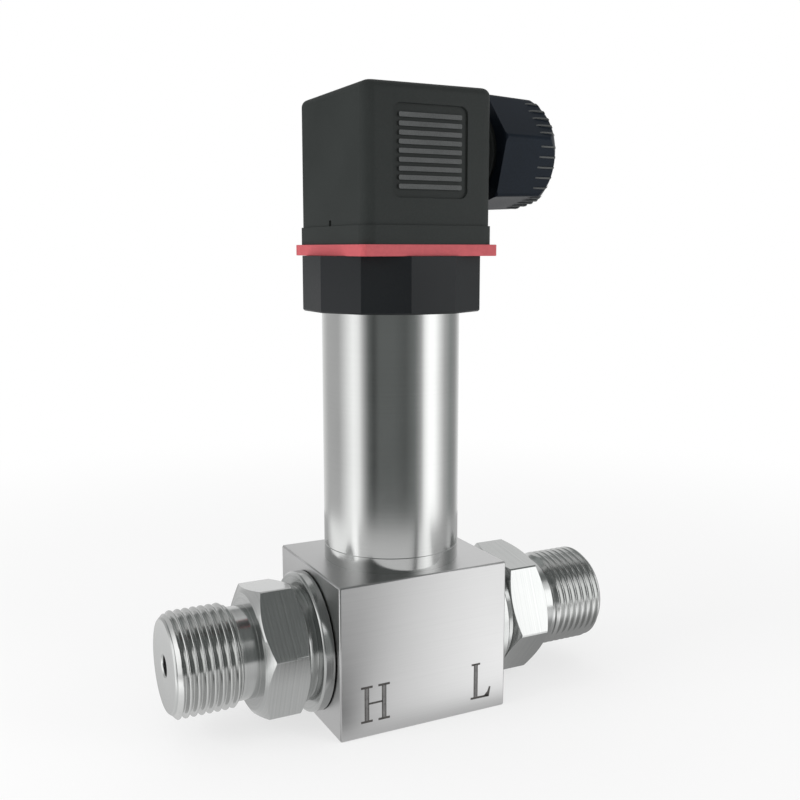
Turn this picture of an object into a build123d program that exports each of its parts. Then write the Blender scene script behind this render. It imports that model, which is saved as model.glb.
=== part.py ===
# Differential pressure transmitter with two screwed-in pressure ports and a square plug on top.
# Millimetres. The block stands on Z = 0, the ports run along X and the lettered face looks to -Y.

import os
from math import cos, pi, radians, sin, tan

from build123d import *

os.makedirs("parts", exist_ok=True)

# Sizes: pressure block
block_length = 36.0
block_depth = 30.6
block_height = 30.2
block_edge_break = 0.3
port_height = 15.0
lead_hole_radius = 4.0

# Sizes: the two port fittings, listed outwards from the block's face
collar_gap = 0.25
collar_length = 2.15
collar_radius = 13.7
collar_edge_break = 0.35
groove_length = 0.9
groove_radius = 10.9
shoulder_length = 1.05
shoulder_radius = 11.6
hex_length = 8.75
hex_across_flats = 24.0
hex_outer_flat_radius = 11.2
hex_inner_flat_radius = 11.9
hex_chamfer_angle = 30.0
neck_length = 3.2
neck_radius = 8.9
thread_length = 12.7
thread_radius = 10.0
thread_end_chamfer = 1.0
pressure_bore_radius = 2.0
bore_mouth_chamfer = 0.3
high_hex_turn = 10.0
low_hex_turn = -9.0
spigot_radius = 10.0
spigot_dish_radius = 6.8
spigot_dish_depth = 0.8

# Sizes: seals of the fittings
collar_seal_radius = 11.9
collar_seal_cord = 0.7
inner_seal_radius = 8.6
inner_seal_cord = 0.6
seal_side_room = 0.1

# Sizes: sensor capsule
capsule_radius = 9.9
capsule_half_length = 7.0
capsule_face_recess = 1.1
capsule_recess_radius = 7.7
oil_dish_radius = 6.6
oil_dish_depth = 0.6
chamber_radius = 3.0
diaphragm_thickness = 0.2
diaphragm_wave_height = 0.15
diaphragm_wave_count = 3
diaphragm_wave_start = 2.3
diaphragm_wave_end = 6.07
points_per_wave = 8
weld_ring_thickness = 0.8
weld_ring_width = 0.95
header_radius = 2.6
header_drop = 1.4
header_length = 10.1
chip_side = 2.2
chip_height = 1.2
chip_top_side = 1.5
chip_top_height = 0.8
pin_radius = 0.25
pin_spacing_x = 2.4
pin_spacing_y = 2.5
pin_top_height = 30.0
lead_radius = 0.4
lead_overlap_on_board = 5.0

# Sizes: standard square plug, from which the tube, base and housing take their widths
blade_spacing = 18.0
blade_radius = blade_spacing / 2

# Sizes: neck ring and housing tube
tube_margin = 4.5
tube_outer_radius = blade_radius + tube_margin
tube_wall = 1.3
tube_length = 49.6
neck_ring_height = 3.0
neck_ring_bore_radius = 5.0
neck_spigot_height = 3.5

# Sizes: circuit board
board_side_room = 1.1
board_width = blade_spacing - 2 * board_side_room
board_head_room = 2.25
board_thickness = 1.6
holder_height = 5.0
holder_slot_depth = 3.0
board_corner_chamfer = 0.8
trimmer_width = 5.3
trimmer_length = 6.6
trimmer_height = 4.4
trimmer_lid_radius = 1.7
trimmer_lid_height = 0.4
trimmer_slot_length = 2.6
trimmer_slot_width = 0.6
capacitor_radius = 2.0
capacitor_height = 5.2

# Places on the circuit board, across and up from its middle; chips add width, length and thickness
front_chips = ((-1.5, 8.8, 7.0, 7.0, 1.4), (1.5, -8.0, 5.0, 6.2, 1.6))
rear_chips = ((0.0, 12.0, 6.2, 5.0, 1.6), (2.0, -10.0, 4.0, 4.0, 1.2))
front_capacitors = ((4.0, -1.0),)
rear_capacitors = ((-4.0, 4.5), (-4.0, -1.0))
front_trimmer = (-4.2, 1.5)
rear_trimmer = (-3.4, -8.5)

# Sizes: twelve-sided plug base
head_shift = 0.4
base_margin = 8.6
base_circumradius = blade_radius + base_margin
base_sides = 12
base_height = 10.5
base_edge_break = 0.3
base_tube_socket = 3.0
base_spigot_drop = 5.0
base_cavity_margin = 0.95
base_cavity_radius = blade_radius + base_cavity_margin
base_cavity_height = 4.2
base_seal_cord = 0.7
blade_width = 6.3
blade_thickness = 0.8
blade_height = 12.0
blade_tail_width = 2.0
blade_tail_length = 5.0
blade_tip_chamfer = 0.2
insert_radius = 2.4
insert_length = 6.0
insert_waist_depth = 0.3
insert_waist_length = 1.5
board_lead_radius = 0.35
board_lead_drop = 4.0

# Sizes: gasket and plug housing
gasket_thickness = 2.1
gasket_corner = 1.2
gasket_length_overhang = 2.0
gasket_depth_overhang = 1.4
gasket_slot_room = 0.3
plug_length_margin = 8.2
plug_depth_margin = 13.4
plug_length = blade_spacing + plug_length_margin
plug_depth = blade_spacing + plug_depth_margin
gasket_length = plug_length + gasket_length_overhang
gasket_depth = plug_depth + gasket_depth_overhang
plug_height = 28.3
plug_wall = 2.0
plug_corner = 2.2
plug_inner_corner = 1.1
plug_top_round = 1.5
skirt_height = 3.4
skirt_step = 0.35
skirt_wall = 1.65
panel_width = 15.2
panel_height = 16.4
panel_corner = 1.5
panel_depth = 0.45
panel_middle_drop = 11.9
panel_rib_count = 9
panel_rib_width = 12.8
panel_rib_thickness = 0.85
panel_rib_pitch = 1.55
panel_rib_depth = 0.4
panel_rib_corner = 0.25
latch_notch_side = 1.1
latch_notch_depth = 0.9
screw_recess_radius = 3.7
screw_recess_depth = 3.4
screw_boss_radius = 5.8
screw_boss_wall = 2.0

# Sizes: cable gland on the plug's side
gland_drop = 10.2
stub_collar_radius = 8.4
stub_collar_length = 3.6
stub_thread_radius = 7.6
stub_length = 14.0
stub_bore_radius = 5.4
grommet_radius = 6.3
grommet_length = 7.4
grommet_bore_radius = 3.75
grommet_taper = 1.0
stub_grip = 5.5
gland_washer_thickness = 1.0
gland_washer_radius = 7.4
gland_washer_bore = 4.6
nut_back_flats = 20.4
nut_front_flats = 19.3
nut_length = 12.7
nut_lip = 1.4
nut_exit_radius = 4.9
nut_rim_radius = 9.3
nut_dome_length = 4.4
nut_dome_radius = 7.3
nut_back_chamfer = 0.5
nut_turn = 12.0
nut_ribs_per_flat = 5
nut_rib_pitch = 2.05
nut_rib_width = 0.45
nut_rib_height = 0.3
nut_rib_length = 4.6

# Sizes: terminal insert, contacts and screws
insert_flange_height = 3.0
terminal_block_top = 12.2
terminal_post_radius = 3.2
terminal_post_height = 2.4
clip_thickness = 2.9
clip_width = 7.3
clip_slot_room = 0.3
clip_pad_length = 5.4
clip_pad_thickness = 1.6
terminal_screw_radius = 1.2
terminal_head_radius = 2.3
terminal_head_height = 1.6
terminal_slot_depth = 0.5
screw_radius = 1.5
screw_head_radius = 2.9
screw_head_height = 2.0
screw_slot_width = 0.8
screw_slot_depth = 1.0
screw_tip_chamfer = 0.45
screw_head_round = 0.4
screw_engagement = 5.5
screw_seal_thickness = 0.8

# Clearances
thread_clearance = 0.1
fit_clearance = 0.05
slide_clearance = 0.1
passage_clearance = 0.25
seat_clearance = 0.02

# Places worked out along the port axis, measured from the block's middle
block_face = block_length / 2
collar_inner = block_face + collar_gap
collar_outer = collar_inner + collar_length
groove_outer = collar_outer + groove_length
hex_inner = groove_outer + shoulder_length
hex_outer = hex_inner + hex_length
neck_outer = hex_outer + neck_length
port_end = neck_outer + thread_length
spigot_end = capsule_half_length + fit_clearance
cross_bore_radius = spigot_radius + thread_clearance

# Places worked out up the height
neck_ring_top = block_height + neck_ring_height
neck_spigot_top = neck_ring_top + neck_spigot_height
tube_inner_radius = tube_outer_radius - tube_wall
tube_top = neck_ring_top + tube_length
base_bottom = tube_top - base_tube_socket
base_top = base_bottom + base_height
cavity_top = base_bottom + base_cavity_height
spigot_bottom = base_bottom - base_spigot_drop
gasket_top = base_top + gasket_thickness
plug_top = gasket_top + plug_height
skirt_top = gasket_top + skirt_height
gland_height = plug_top - gland_drop
board_bottom = neck_spigot_top + holder_height - holder_slot_depth + fit_clearance
board_length = cavity_top - board_head_room - board_bottom
plug_face = head_shift + plug_length / 2
stub_end = plug_face + stub_length
grommet_back = stub_end - stub_grip
grommet_front = grommet_back + grommet_length
nut_front = grommet_front + gland_washer_thickness + nut_lip
nut_back = nut_front - nut_length

port_axis = Axis((0, 0, port_height), (1, 0, 0))
gland_axis = Axis((0, 0, gland_height), (1, 0, 0))
port_section = Plane(origin=(0, 0, port_height), x_dir=(1, 0, 0), z_dir=(0, -1, 0))
gland_section = Plane(origin=(0, 0, gland_height), x_dir=(1, 0, 0), z_dir=(0, -1, 0))
upright_section = Plane(origin=(0, 0, 0), x_dir=(1, 0, 0), z_dir=(0, -1, 0))
head_section = Plane(origin=(head_shift, 0, 0), x_dir=(1, 0, 0), z_dir=(0, -1, 0))


def across_port(distance):
    """Plane square to the port axis, its local X along Y and its local Y upwards."""
    return Plane(origin=(distance, 0, port_height), x_dir=(0, 1, 0), z_dir=(1, 0, 0))


def across_gland(distance):
    """Plane square to the cable gland's axis, facing the cable."""
    return Plane(origin=(distance, 0, gland_height), x_dir=(0, 1, 0), z_dir=(1, 0, 0))


def head_level(height):
    """Level plane centred on the plug, which sits a little towards the low port."""
    return Plane(origin=(head_shift, 0, height))


def save(built, name):
    """Label a finished piece and write it to its own file."""
    built.part.label = name
    export_step(built.part, "parts/" + name + ".step")


# Pressure block: square bar with one cross bore and a lead hole up to the tube
with BuildPart() as sensor_block:
    with BuildSketch(Plane.XY):
        Rectangle(block_length, block_depth)
    extrude(amount=block_height)
    chamfer(sensor_block.edges(), block_edge_break)
    with BuildSketch(across_port(-block_face)):
        Circle(cross_bore_radius)
    extrude(amount=block_length, mode=Mode.SUBTRACT)
    with BuildSketch(Plane.XY.offset(port_height)):
        Circle(lead_hole_radius)
    extrude(amount=block_height - port_height, mode=Mode.SUBTRACT)
save(sensor_block, "sensor_block")

# Port fittings: turned from hexagon bar, one for each side
hex_corner_radius = hex_across_flats / 2 / cos(pi / 6)
chamfer_slope = tan(radians(hex_chamfer_angle))
outer_cone_length = (hex_corner_radius - hex_outer_flat_radius) * chamfer_slope
inner_cone_length = (hex_corner_radius - hex_inner_flat_radius) * chamfer_slope
collar_groove_depth = 2 * collar_seal_cord - collar_gap + seat_clearance
collar_groove_half = collar_seal_cord + seal_side_room
inner_groove_depth = 2 * inner_seal_cord - fit_clearance + seat_clearance
inner_groove_half = inner_seal_cord + seal_side_room
thread_runout = thread_radius - neck_radius

for side_name, side, hex_turn in (("high", -1, high_hex_turn), ("low", 1, low_hex_turn)):
    with BuildPart() as fitting:
        with BuildSketch(across_port(side * hex_inner)):
            RegularPolygon(hex_corner_radius, 6, rotation=180 - hex_turn)
        extrude(amount=side * hex_length)
        with BuildSketch(port_section):
            with BuildLine():
                Polyline(
                    (side * hex_inner, 0),
                    (side * hex_inner, hex_inner_flat_radius),
                    (side * (hex_inner + inner_cone_length), hex_corner_radius),
                    (side * (hex_outer - outer_cone_length), hex_corner_radius),
                    (side * hex_outer, hex_outer_flat_radius),
                    (side * hex_outer, 0),
                    close=True,
                )
            make_face()
        revolve(axis=port_axis, mode=Mode.INTERSECT)
        with BuildSketch(port_section):
            with BuildLine():
                Polyline(
                    (side * port_end, 0),
                    (side * port_end, thread_radius - thread_end_chamfer),
                    (side * (port_end - thread_end_chamfer), thread_radius),
                    (side * (neck_outer + thread_runout), thread_radius),
                    (side * neck_outer, neck_radius),
                    (side * hex_inner, neck_radius),
                    (side * hex_inner, shoulder_radius),
                    (side * groove_outer, shoulder_radius),
                    (side * groove_outer, groove_radius),
                    (side * collar_outer, groove_radius),
                    (side * collar_outer, collar_radius - collar_edge_break),
                    (side * (collar_outer - collar_edge_break), collar_radius),
                    (side * collar_inner, collar_radius),
                    (side * collar_inner, spigot_radius),
                    (side * spigot_end, spigot_radius),
                    (side * spigot_end, 0),
                    close=True,
                )
            make_face()
        revolve(axis=port_axis)
        with BuildSketch(port_section):
            with Locations((side * (collar_inner + collar_groove_depth / 2), collar_seal_radius)):
                Rectangle(collar_groove_depth, 2 * collar_groove_half)
            with Locations((side * (spigot_end + inner_groove_depth / 2), inner_seal_radius)):
                Rectangle(inner_groove_depth, 2 * inner_groove_half)
        revolve(axis=port_axis, mode=Mode.SUBTRACT)
        with BuildSketch(port_section):
            with BuildLine():
                Polyline(
                    (side * port_end, 0),
                    (side * port_end, pressure_bore_radius + bore_mouth_chamfer),
                    (side * (port_end - bore_mouth_chamfer), pressure_bore_radius),
                    (side * (spigot_end + spigot_dish_depth), pressure_bore_radius),
                    (side * (spigot_end + spigot_dish_depth), spigot_dish_radius),
                    (side * spigot_end, spigot_dish_radius),
                    (side * spigot_end, 0),
                    close=True,
                )
            make_face()
        revolve(axis=port_axis, mode=Mode.SUBTRACT)
    save(fitting, side_name + "_side_fitting")

    # Round seal squeezed between the collar and the block's face
    with BuildPart() as collar_seal:
        with BuildSketch(port_section):
            with Locations((side * (block_face + collar_seal_cord), collar_seal_radius)):
                Circle(collar_seal_cord)
        revolve(axis=port_axis)
    save(collar_seal, side_name + "_collar_seal")

    # Smaller seal between the fitting's spigot and the sensor capsule
    with BuildPart() as inner_seal:
        with BuildSketch(port_section):
            with Locations((side * (capsule_half_length + inner_seal_cord), inner_seal_radius)):
                Circle(inner_seal_cord)
        revolve(axis=port_axis)
    save(inner_seal, side_name + "_inner_seal")

# Sensor capsule: steel drum with a shallow oil dish behind each diaphragm
ledge = capsule_half_length - capsule_face_recess
dish_floor = ledge - oil_dish_depth
header_bottom = port_height + header_drop
with BuildPart() as sensor_capsule:
    with BuildSketch(port_section):
        with BuildLine():
            Polyline(
                (0, chamber_radius),
                (dish_floor, chamber_radius),
                (dish_floor, oil_dish_radius),
                (ledge, oil_dish_radius),
                (ledge, capsule_recess_radius),
                (capsule_half_length, capsule_recess_radius),
                (capsule_half_length, capsule_radius),
                (0, capsule_radius),
                close=True,
            )
        make_face()
        mirror(about=Plane.YZ)
    revolve(axis=port_axis)
    with BuildSketch(Plane.XY.offset(port_height)):
        Circle(header_radius + seat_clearance)
    extrude(amount=capsule_radius, mode=Mode.SUBTRACT)
save(sensor_capsule, "sensor_capsule")

# Diaphragms with rolled waves, and the rings that hold their rims
wave_span = diaphragm_wave_end - diaphragm_wave_start
wave_steps = points_per_wave * diaphragm_wave_count
wave_points = []
for step in range(wave_steps + 1):
    share = step / wave_steps
    lift = diaphragm_wave_height * sin(2 * pi * diaphragm_wave_count * share)
    wave_points.append((ledge + lift, diaphragm_wave_start + wave_span * share))
ring_inner_radius = capsule_recess_radius - weld_ring_width
disc_radius = capsule_recess_radius - fit_clearance
for side_name, side in (("high", -1), ("low", 1)):
    near_side = [(side * x, y) for x, y in wave_points]
    far_side = [(side * (x + diaphragm_thickness), y) for x, y in reversed(wave_points)]
    with BuildPart() as diaphragm:
        with BuildSketch(port_section):
            with BuildLine():
                Polyline((side * ledge, 0), near_side[0])
                Spline(*near_side)
                Polyline(
                    near_side[-1],
                    (side * ledge, disc_radius),
                    (side * (ledge + diaphragm_thickness), disc_radius),
                    far_side[0],
                )
                Spline(*far_side)
                Polyline(far_side[-1], (side * (ledge + diaphragm_thickness), 0), (side * ledge, 0))
            make_face()
        revolve(axis=port_axis)
    save(diaphragm, side_name + "_diaphragm")

    ring_middle = ledge + diaphragm_thickness + weld_ring_thickness / 2
    with BuildPart() as weld_ring:
        with BuildSketch(port_section):
            with Locations((side * ring_middle, (ring_inner_radius + disc_radius) / 2)):
                Rectangle(weld_ring_thickness, disc_radius - ring_inner_radius)
        revolve(axis=port_axis)
    save(weld_ring, side_name + "_weld_ring")

# Glass header that carries the sensing chip inside the oil chamber
with BuildPart() as sensor_header:
    with BuildSketch(Plane.XY.offset(header_bottom)):
        Circle(header_radius)
        with GridLocations(pin_spacing_x, pin_spacing_y, 2, 2):
            Circle(pin_radius + seat_clearance, mode=Mode.SUBTRACT)
    extrude(amount=header_length)
save(sensor_header, "sensor_header")

with BuildPart() as pressure_chip:
    with BuildSketch(Plane.XY.offset(header_bottom - chip_height)):
        Rectangle(chip_top_side, chip_top_side)
    extrude(amount=chip_top_height)
    with BuildSketch(Plane.XY.offset(header_bottom - chip_height + chip_top_height)):
        Rectangle(chip_side, chip_side)
    extrude(amount=chip_height - chip_top_height)
save(pressure_chip, "pressure_chip")

with BuildPart() as header_pins:
    with BuildSketch(Plane.XY.offset(header_bottom - chip_height / 2)):
        with GridLocations(pin_spacing_x, pin_spacing_y, 2, 2):
            Circle(pin_radius)
    extrude(amount=pin_top_height - header_bottom + chip_height / 2)
save(header_pins, "header_pins")

with BuildPart() as sensor_leads:
    with BuildSketch(Plane.XY.offset(pin_top_height)):
        with GridLocations(pin_spacing_x, pin_spacing_y, 2, 2):
            Circle(lead_radius)
    extrude(amount=board_bottom + lead_overlap_on_board - pin_top_height)
save(sensor_leads, "sensor_leads")

# Neck ring welded to the block, with a spigot that centres the tube
with BuildPart() as neck_ring:
    with BuildSketch(Plane.XY.offset(block_height)):
        Circle(tube_outer_radius)
    extrude(amount=neck_ring_height)
    with BuildSketch(Plane.XY.offset(neck_ring_top)):
        Circle(tube_inner_radius - fit_clearance)
    extrude(amount=neck_spigot_height)
    with BuildSketch(Plane.XY.offset(block_height)):
        Circle(neck_ring_bore_radius)
    extrude(amount=neck_ring_height + neck_spigot_height, mode=Mode.SUBTRACT)
save(neck_ring, "neck_ring")

with BuildPart() as housing_tube:
    with BuildSketch(Plane.XY.offset(neck_ring_top)):
        Circle(tube_outer_radius)
        Circle(tube_inner_radius, mode=Mode.SUBTRACT)
    extrude(amount=tube_length)
save(housing_tube, "housing_tube")

# Moulded holder that stands on the neck ring and grips the board's lower edge
with BuildPart() as board_holder:
    with BuildSketch(Plane.XY.offset(neck_spigot_top)):
        Circle(tube_inner_radius - slide_clearance)
        Circle(neck_ring_bore_radius, mode=Mode.SUBTRACT)
    extrude(amount=holder_height)
    with BuildSketch(Plane.XY.offset(neck_spigot_top + holder_height - holder_slot_depth)):
        Rectangle(board_width + 2 * slide_clearance, board_thickness + 2 * slide_clearance)
    extrude(amount=holder_slot_depth, mode=Mode.SUBTRACT)
save(board_holder, "board_holder")

with BuildPart() as circuit_board:
    with BuildSketch(Plane.XY.offset(board_bottom)):
        Rectangle(board_width, board_thickness)
    extrude(amount=board_length)
    corner_edges = circuit_board.edges().filter_by(Axis.Y)
    chamfer(corner_edges, board_corner_chamfer)
save(circuit_board, "circuit_board")

# Parts soldered to the board; each stands on one of its two faces
front_face = -board_thickness / 2
rear_face = board_thickness / 2
board_middle = board_bottom + board_length / 2


def on_front(x, up):
    """Plane on the board's front face, facing out of it."""
    return Plane(origin=(x, front_face, board_middle + up), x_dir=(1, 0, 0), z_dir=(0, -1, 0))


def on_rear(x, up):
    """Plane on the board's rear face, facing out of it."""
    return Plane(origin=(x, rear_face, board_middle + up), x_dir=(-1, 0, 0), z_dir=(0, 1, 0))


with BuildPart() as board_chips:
    for board_side, chips in ((on_front, front_chips), (on_rear, rear_chips)):
        for across, up, width, length, thickness in chips:
            with BuildSketch(board_side(across, up)):
                Rectangle(width, length)
            extrude(amount=thickness)
save(board_chips, "board_chips")

with BuildPart() as board_capacitors:
    for board_side, capacitors in ((on_front, front_capacitors), (on_rear, rear_capacitors)):
        for across, up in capacitors:
            with BuildSketch(board_side(across, up)):
                Circle(capacitor_radius)
            extrude(amount=capacitor_height)
save(board_capacitors, "board_capacitors")

# Zero and span trimmers, each with a slotted brass screw in its lid
with BuildPart() as board_trimmers:
    for trimmer_place in (on_front(*front_trimmer), on_rear(*rear_trimmer)):
        with BuildSketch(trimmer_place):
            Rectangle(trimmer_width, trimmer_length)
        extrude(amount=trimmer_height)
    trimmer_lids = board_trimmers.faces().filter_by(Axis.Y).group_by(Axis.Y)
    for lid in (trimmer_lids[0][0], trimmer_lids[-1][0]):
        with BuildSketch(Plane(lid)):
            Circle(trimmer_lid_radius)
            Rectangle(trimmer_slot_length, trimmer_slot_width, mode=Mode.SUBTRACT)
        extrude(amount=trimmer_lid_height)
save(board_trimmers, "board_trimmers")

# Twelve-sided base that closes the tube and carries the plug's contacts
base_seal_middle = (spigot_bottom + base_bottom) / 2
base_seal_radius = tube_inner_radius - base_seal_cord - seat_clearance
base_groove_floor = base_seal_radius - base_seal_cord - seat_clearance
base_spigot_radius = tube_inner_radius - slide_clearance
with BuildPart() as connector_base:
    with BuildSketch(head_level(base_bottom)):
        RegularPolygon(base_circumradius, base_sides, rotation=180 / base_sides)
    extrude(amount=base_height)
    lower_rim = connector_base.faces().sort_by(Axis.Z)[0].edges()
    chamfer(lower_rim, base_edge_break)
    with BuildSketch(Plane.XY.offset(base_bottom)):
        Circle(tube_outer_radius + fit_clearance)
    extrude(amount=base_tube_socket, mode=Mode.SUBTRACT)
    with BuildSketch(Plane.XY.offset(spigot_bottom)):
        Circle(base_spigot_radius)
    extrude(amount=base_spigot_drop + base_tube_socket)
    with BuildSketch(Plane.XY.offset(spigot_bottom)):
        Circle(base_cavity_radius)
    extrude(amount=cavity_top - spigot_bottom, mode=Mode.SUBTRACT)
    with BuildSketch(upright_section):
        with Locations((base_spigot_radius, base_seal_middle)):
            Rectangle(
                2 * (base_spigot_radius - base_groove_floor),
                2 * (base_seal_cord + seal_side_room),
            )
    revolve(axis=Axis.Z, mode=Mode.SUBTRACT)
    with BuildSketch(head_level(cavity_top)):
        with PolarLocations(blade_radius, 4):
            Rectangle(blade_thickness, blade_width)
    extrude(amount=base_top - cavity_top, mode=Mode.SUBTRACT)
    with BuildSketch(head_level(base_top - insert_length)):
        Circle(insert_radius + seat_clearance)
    extrude(amount=insert_length, mode=Mode.SUBTRACT)
save(connector_base, "connector_base")

with BuildPart() as base_seal:
    with BuildSketch(upright_section):
        with Locations((base_seal_radius, base_seal_middle)):
            Circle(base_seal_cord)
    revolve(axis=Axis.Z)
save(base_seal, "base_seal")

# Flat contact blades moulded into the base; the earth blade faces the gland's far side
blade_top = base_top + blade_height
for blade_name, blade_turns in (("contact_blades", (-90, 0, 90)), ("earth_blade", (180,))):
    with BuildPart() as blades:
        for turn in blade_turns:
            with BuildSketch(head_level(cavity_top)):
                with PolarLocations(blade_radius, 1, start_angle=turn):
                    Rectangle(blade_thickness, blade_width)
            extrude(amount=blade_top - cavity_top)
            with BuildSketch(head_level(cavity_top - blade_tail_length)):
                with PolarLocations(blade_radius, 1, start_angle=turn):
                    Rectangle(blade_thickness, blade_tail_width)
            extrude(amount=blade_tail_length)
        tips = blades.faces().filter_by(Axis.Z).group_by(Axis.Z)[-1].edges()
        chamfer(tips, blade_tip_chamfer)
    save(blades, blade_name)

# Short wires from two contact tails to the board
tail_face = blade_radius - blade_thickness / 2
lead_level = cavity_top - board_lead_drop
with BuildPart() as board_leads:
    for direction in (-1, 1):
        start = Plane(
            origin=(head_shift, direction * rear_face, lead_level),
            x_dir=(1, 0, 0),
            z_dir=(0, direction, 0),
        )
        with BuildSketch(start):
            Circle(board_lead_radius)
        extrude(amount=tail_face - rear_face)
save(board_leads, "board_leads")

# Threaded brass insert for the centre screw
with BuildPart() as screw_insert:
    with BuildSketch(head_level(base_top - insert_length)):
        Circle(insert_radius)
    extrude(amount=insert_length)
    with BuildSketch(head_section):
        with Locations((insert_radius, base_top - insert_length / 2)):
            Rectangle(2 * insert_waist_depth, insert_waist_length)
    revolve(axis=Axis((head_shift, 0, 0), (0, 0, 1)), mode=Mode.SUBTRACT)
    with BuildSketch(head_level(base_top - insert_length)):
        Circle(screw_radius + fit_clearance)
    extrude(amount=insert_length, mode=Mode.SUBTRACT)
save(screw_insert, "screw_insert")

# Flat seal between the base and the plug
with BuildPart() as connector_gasket:
    with BuildSketch(head_level(base_top)):
        RectangleRounded(gasket_length, gasket_depth, gasket_corner)
        Circle(insert_radius, mode=Mode.SUBTRACT)
        with PolarLocations(blade_radius, 4):
            Rectangle(
                blade_thickness + 2 * gasket_slot_room,
                blade_width + 2 * gasket_slot_room,
                mode=Mode.SUBTRACT,
            )
    extrude(amount=gasket_thickness)
save(connector_gasket, "connector_gasket")

# Plug housing: moulded box, open below, with a threaded stub for the cable gland
skirt_length = plug_length + 2 * skirt_step
skirt_depth = plug_depth + 2 * skirt_step
roof = plug_top - plug_wall
recess_floor = plug_top - screw_recess_depth
boss_bottom = recess_floor - screw_boss_wall
panel_middle = plug_top - panel_middle_drop
plug_front = -plug_depth / 2
flange_top = gasket_top + insert_flange_height
with BuildPart() as plug_housing:
    with BuildSketch(head_level(gasket_top)):
        RectangleRounded(plug_length, plug_depth, plug_corner)
    extrude(amount=plug_height)
    fillet(plug_housing.faces().sort_by(Axis.Z)[-1].edges(), plug_top_round)
    with BuildSketch(head_level(gasket_top)):
        RectangleRounded(skirt_length, skirt_depth, plug_corner + skirt_step)
    extrude(amount=skirt_height)
    with BuildSketch(across_gland(plug_face - plug_wall)):
        Circle(stub_collar_radius)
    extrude(amount=plug_wall + stub_collar_length)
    with BuildSketch(across_gland(plug_face)):
        Circle(stub_thread_radius)
    extrude(amount=stub_length)
    chamfer(plug_housing.faces().sort_by(Axis.X)[-1].edges(), nut_back_chamfer)
    with BuildSketch(head_level(gasket_top)):
        RectangleRounded(plug_length - 2 * plug_wall, plug_depth - 2 * plug_wall, plug_inner_corner)
    extrude(amount=plug_height - plug_wall, mode=Mode.SUBTRACT)
    with BuildSketch(head_level(gasket_top)):
        RectangleRounded(skirt_length - 2 * skirt_wall, skirt_depth - 2 * skirt_wall, plug_inner_corner)
    extrude(amount=insert_flange_height, mode=Mode.SUBTRACT)
    with BuildSketch(head_level(boss_bottom)):
        Circle(screw_boss_radius)
    extrude(amount=roof - boss_bottom)
    with BuildSketch(head_level(recess_floor)):
        Circle(screw_recess_radius)
    extrude(amount=screw_recess_depth, mode=Mode.SUBTRACT)
    with BuildSketch(head_level(boss_bottom)):
        Circle(screw_radius + passage_clearance)
    extrude(amount=recess_floor - boss_bottom, mode=Mode.SUBTRACT)
    with BuildSketch(across_gland(plug_face - 2 * plug_wall)):
        Circle(stub_bore_radius)
    extrude(amount=2 * plug_wall + stub_length, mode=Mode.SUBTRACT)
    with BuildSketch(across_gland(grommet_back)):
        Circle(grommet_radius + fit_clearance)
    extrude(amount=stub_grip, mode=Mode.SUBTRACT)
    panel_plane = Plane(
        origin=(head_shift, plug_front, panel_middle), x_dir=(1, 0, 0), z_dir=(0, -1, 0)
    )
    with BuildSketch(panel_plane):
        RectangleRounded(panel_width, panel_height, panel_corner)
    extrude(amount=-panel_depth, mode=Mode.SUBTRACT)
    with BuildSketch(panel_plane.offset(-panel_depth)):
        with GridLocations(0, panel_rib_pitch, 1, panel_rib_count):
            RectangleRounded(panel_rib_width, panel_rib_thickness, panel_rib_corner)
    extrude(amount=panel_rib_depth)
    notch_plane = Plane(
        origin=(head_shift - plug_length / 2, 0, skirt_top + latch_notch_side / 2),
        x_dir=(0, -1, 0),
        z_dir=(-1, 0, 0),
    )
    with BuildSketch(notch_plane):
        Rectangle(latch_notch_side, latch_notch_side)
    extrude(amount=-latch_notch_depth, mode=Mode.SUBTRACT)
save(plug_housing, "plug_housing")

# Terminal insert pushed up into the plug, with a pocket for each contact clip
flange_length = skirt_length - 2 * skirt_wall - 2 * slide_clearance
flange_depth = skirt_depth - 2 * skirt_wall - 2 * slide_clearance
block_inner_length = plug_length - 2 * plug_wall - 2 * slide_clearance
block_inner_depth = plug_depth - 2 * plug_wall - 2 * slide_clearance
terminal_top = gasket_top + terminal_block_top
pad_bottom = terminal_top - clip_pad_thickness
clip_bottom = gasket_top + slide_clearance
pad_radius = blade_radius + clip_thickness / 2 - clip_pad_length / 2
with BuildPart() as terminal_insert:
    with BuildSketch(head_level(clip_bottom)):
        RectangleRounded(flange_length, flange_depth, plug_inner_corner)
    extrude(amount=flange_top - clip_bottom)
    with BuildSketch(head_level(flange_top)):
        RectangleRounded(block_inner_length, block_inner_depth, plug_inner_corner)
    extrude(amount=terminal_top - flange_top)
    with BuildSketch(head_level(terminal_top)):
        Circle(terminal_post_radius)
    extrude(amount=terminal_post_height)
    with BuildSketch(head_level(clip_bottom)):
        with PolarLocations(blade_radius, 4):
            Rectangle(clip_thickness + 2 * fit_clearance, clip_width + 2 * fit_clearance)
    extrude(amount=pad_bottom - clip_bottom, mode=Mode.SUBTRACT)
    with BuildSketch(head_level(pad_bottom)):
        with PolarLocations(pad_radius, 4):
            Rectangle(clip_pad_length + 2 * fit_clearance, clip_width + 2 * fit_clearance)
    extrude(amount=clip_pad_thickness, mode=Mode.SUBTRACT)
    with BuildSketch(head_level(clip_bottom)):
        Circle(screw_radius + passage_clearance)
    extrude(amount=terminal_top + terminal_post_height - clip_bottom, mode=Mode.SUBTRACT)
save(terminal_insert, "terminal_insert")

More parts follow.
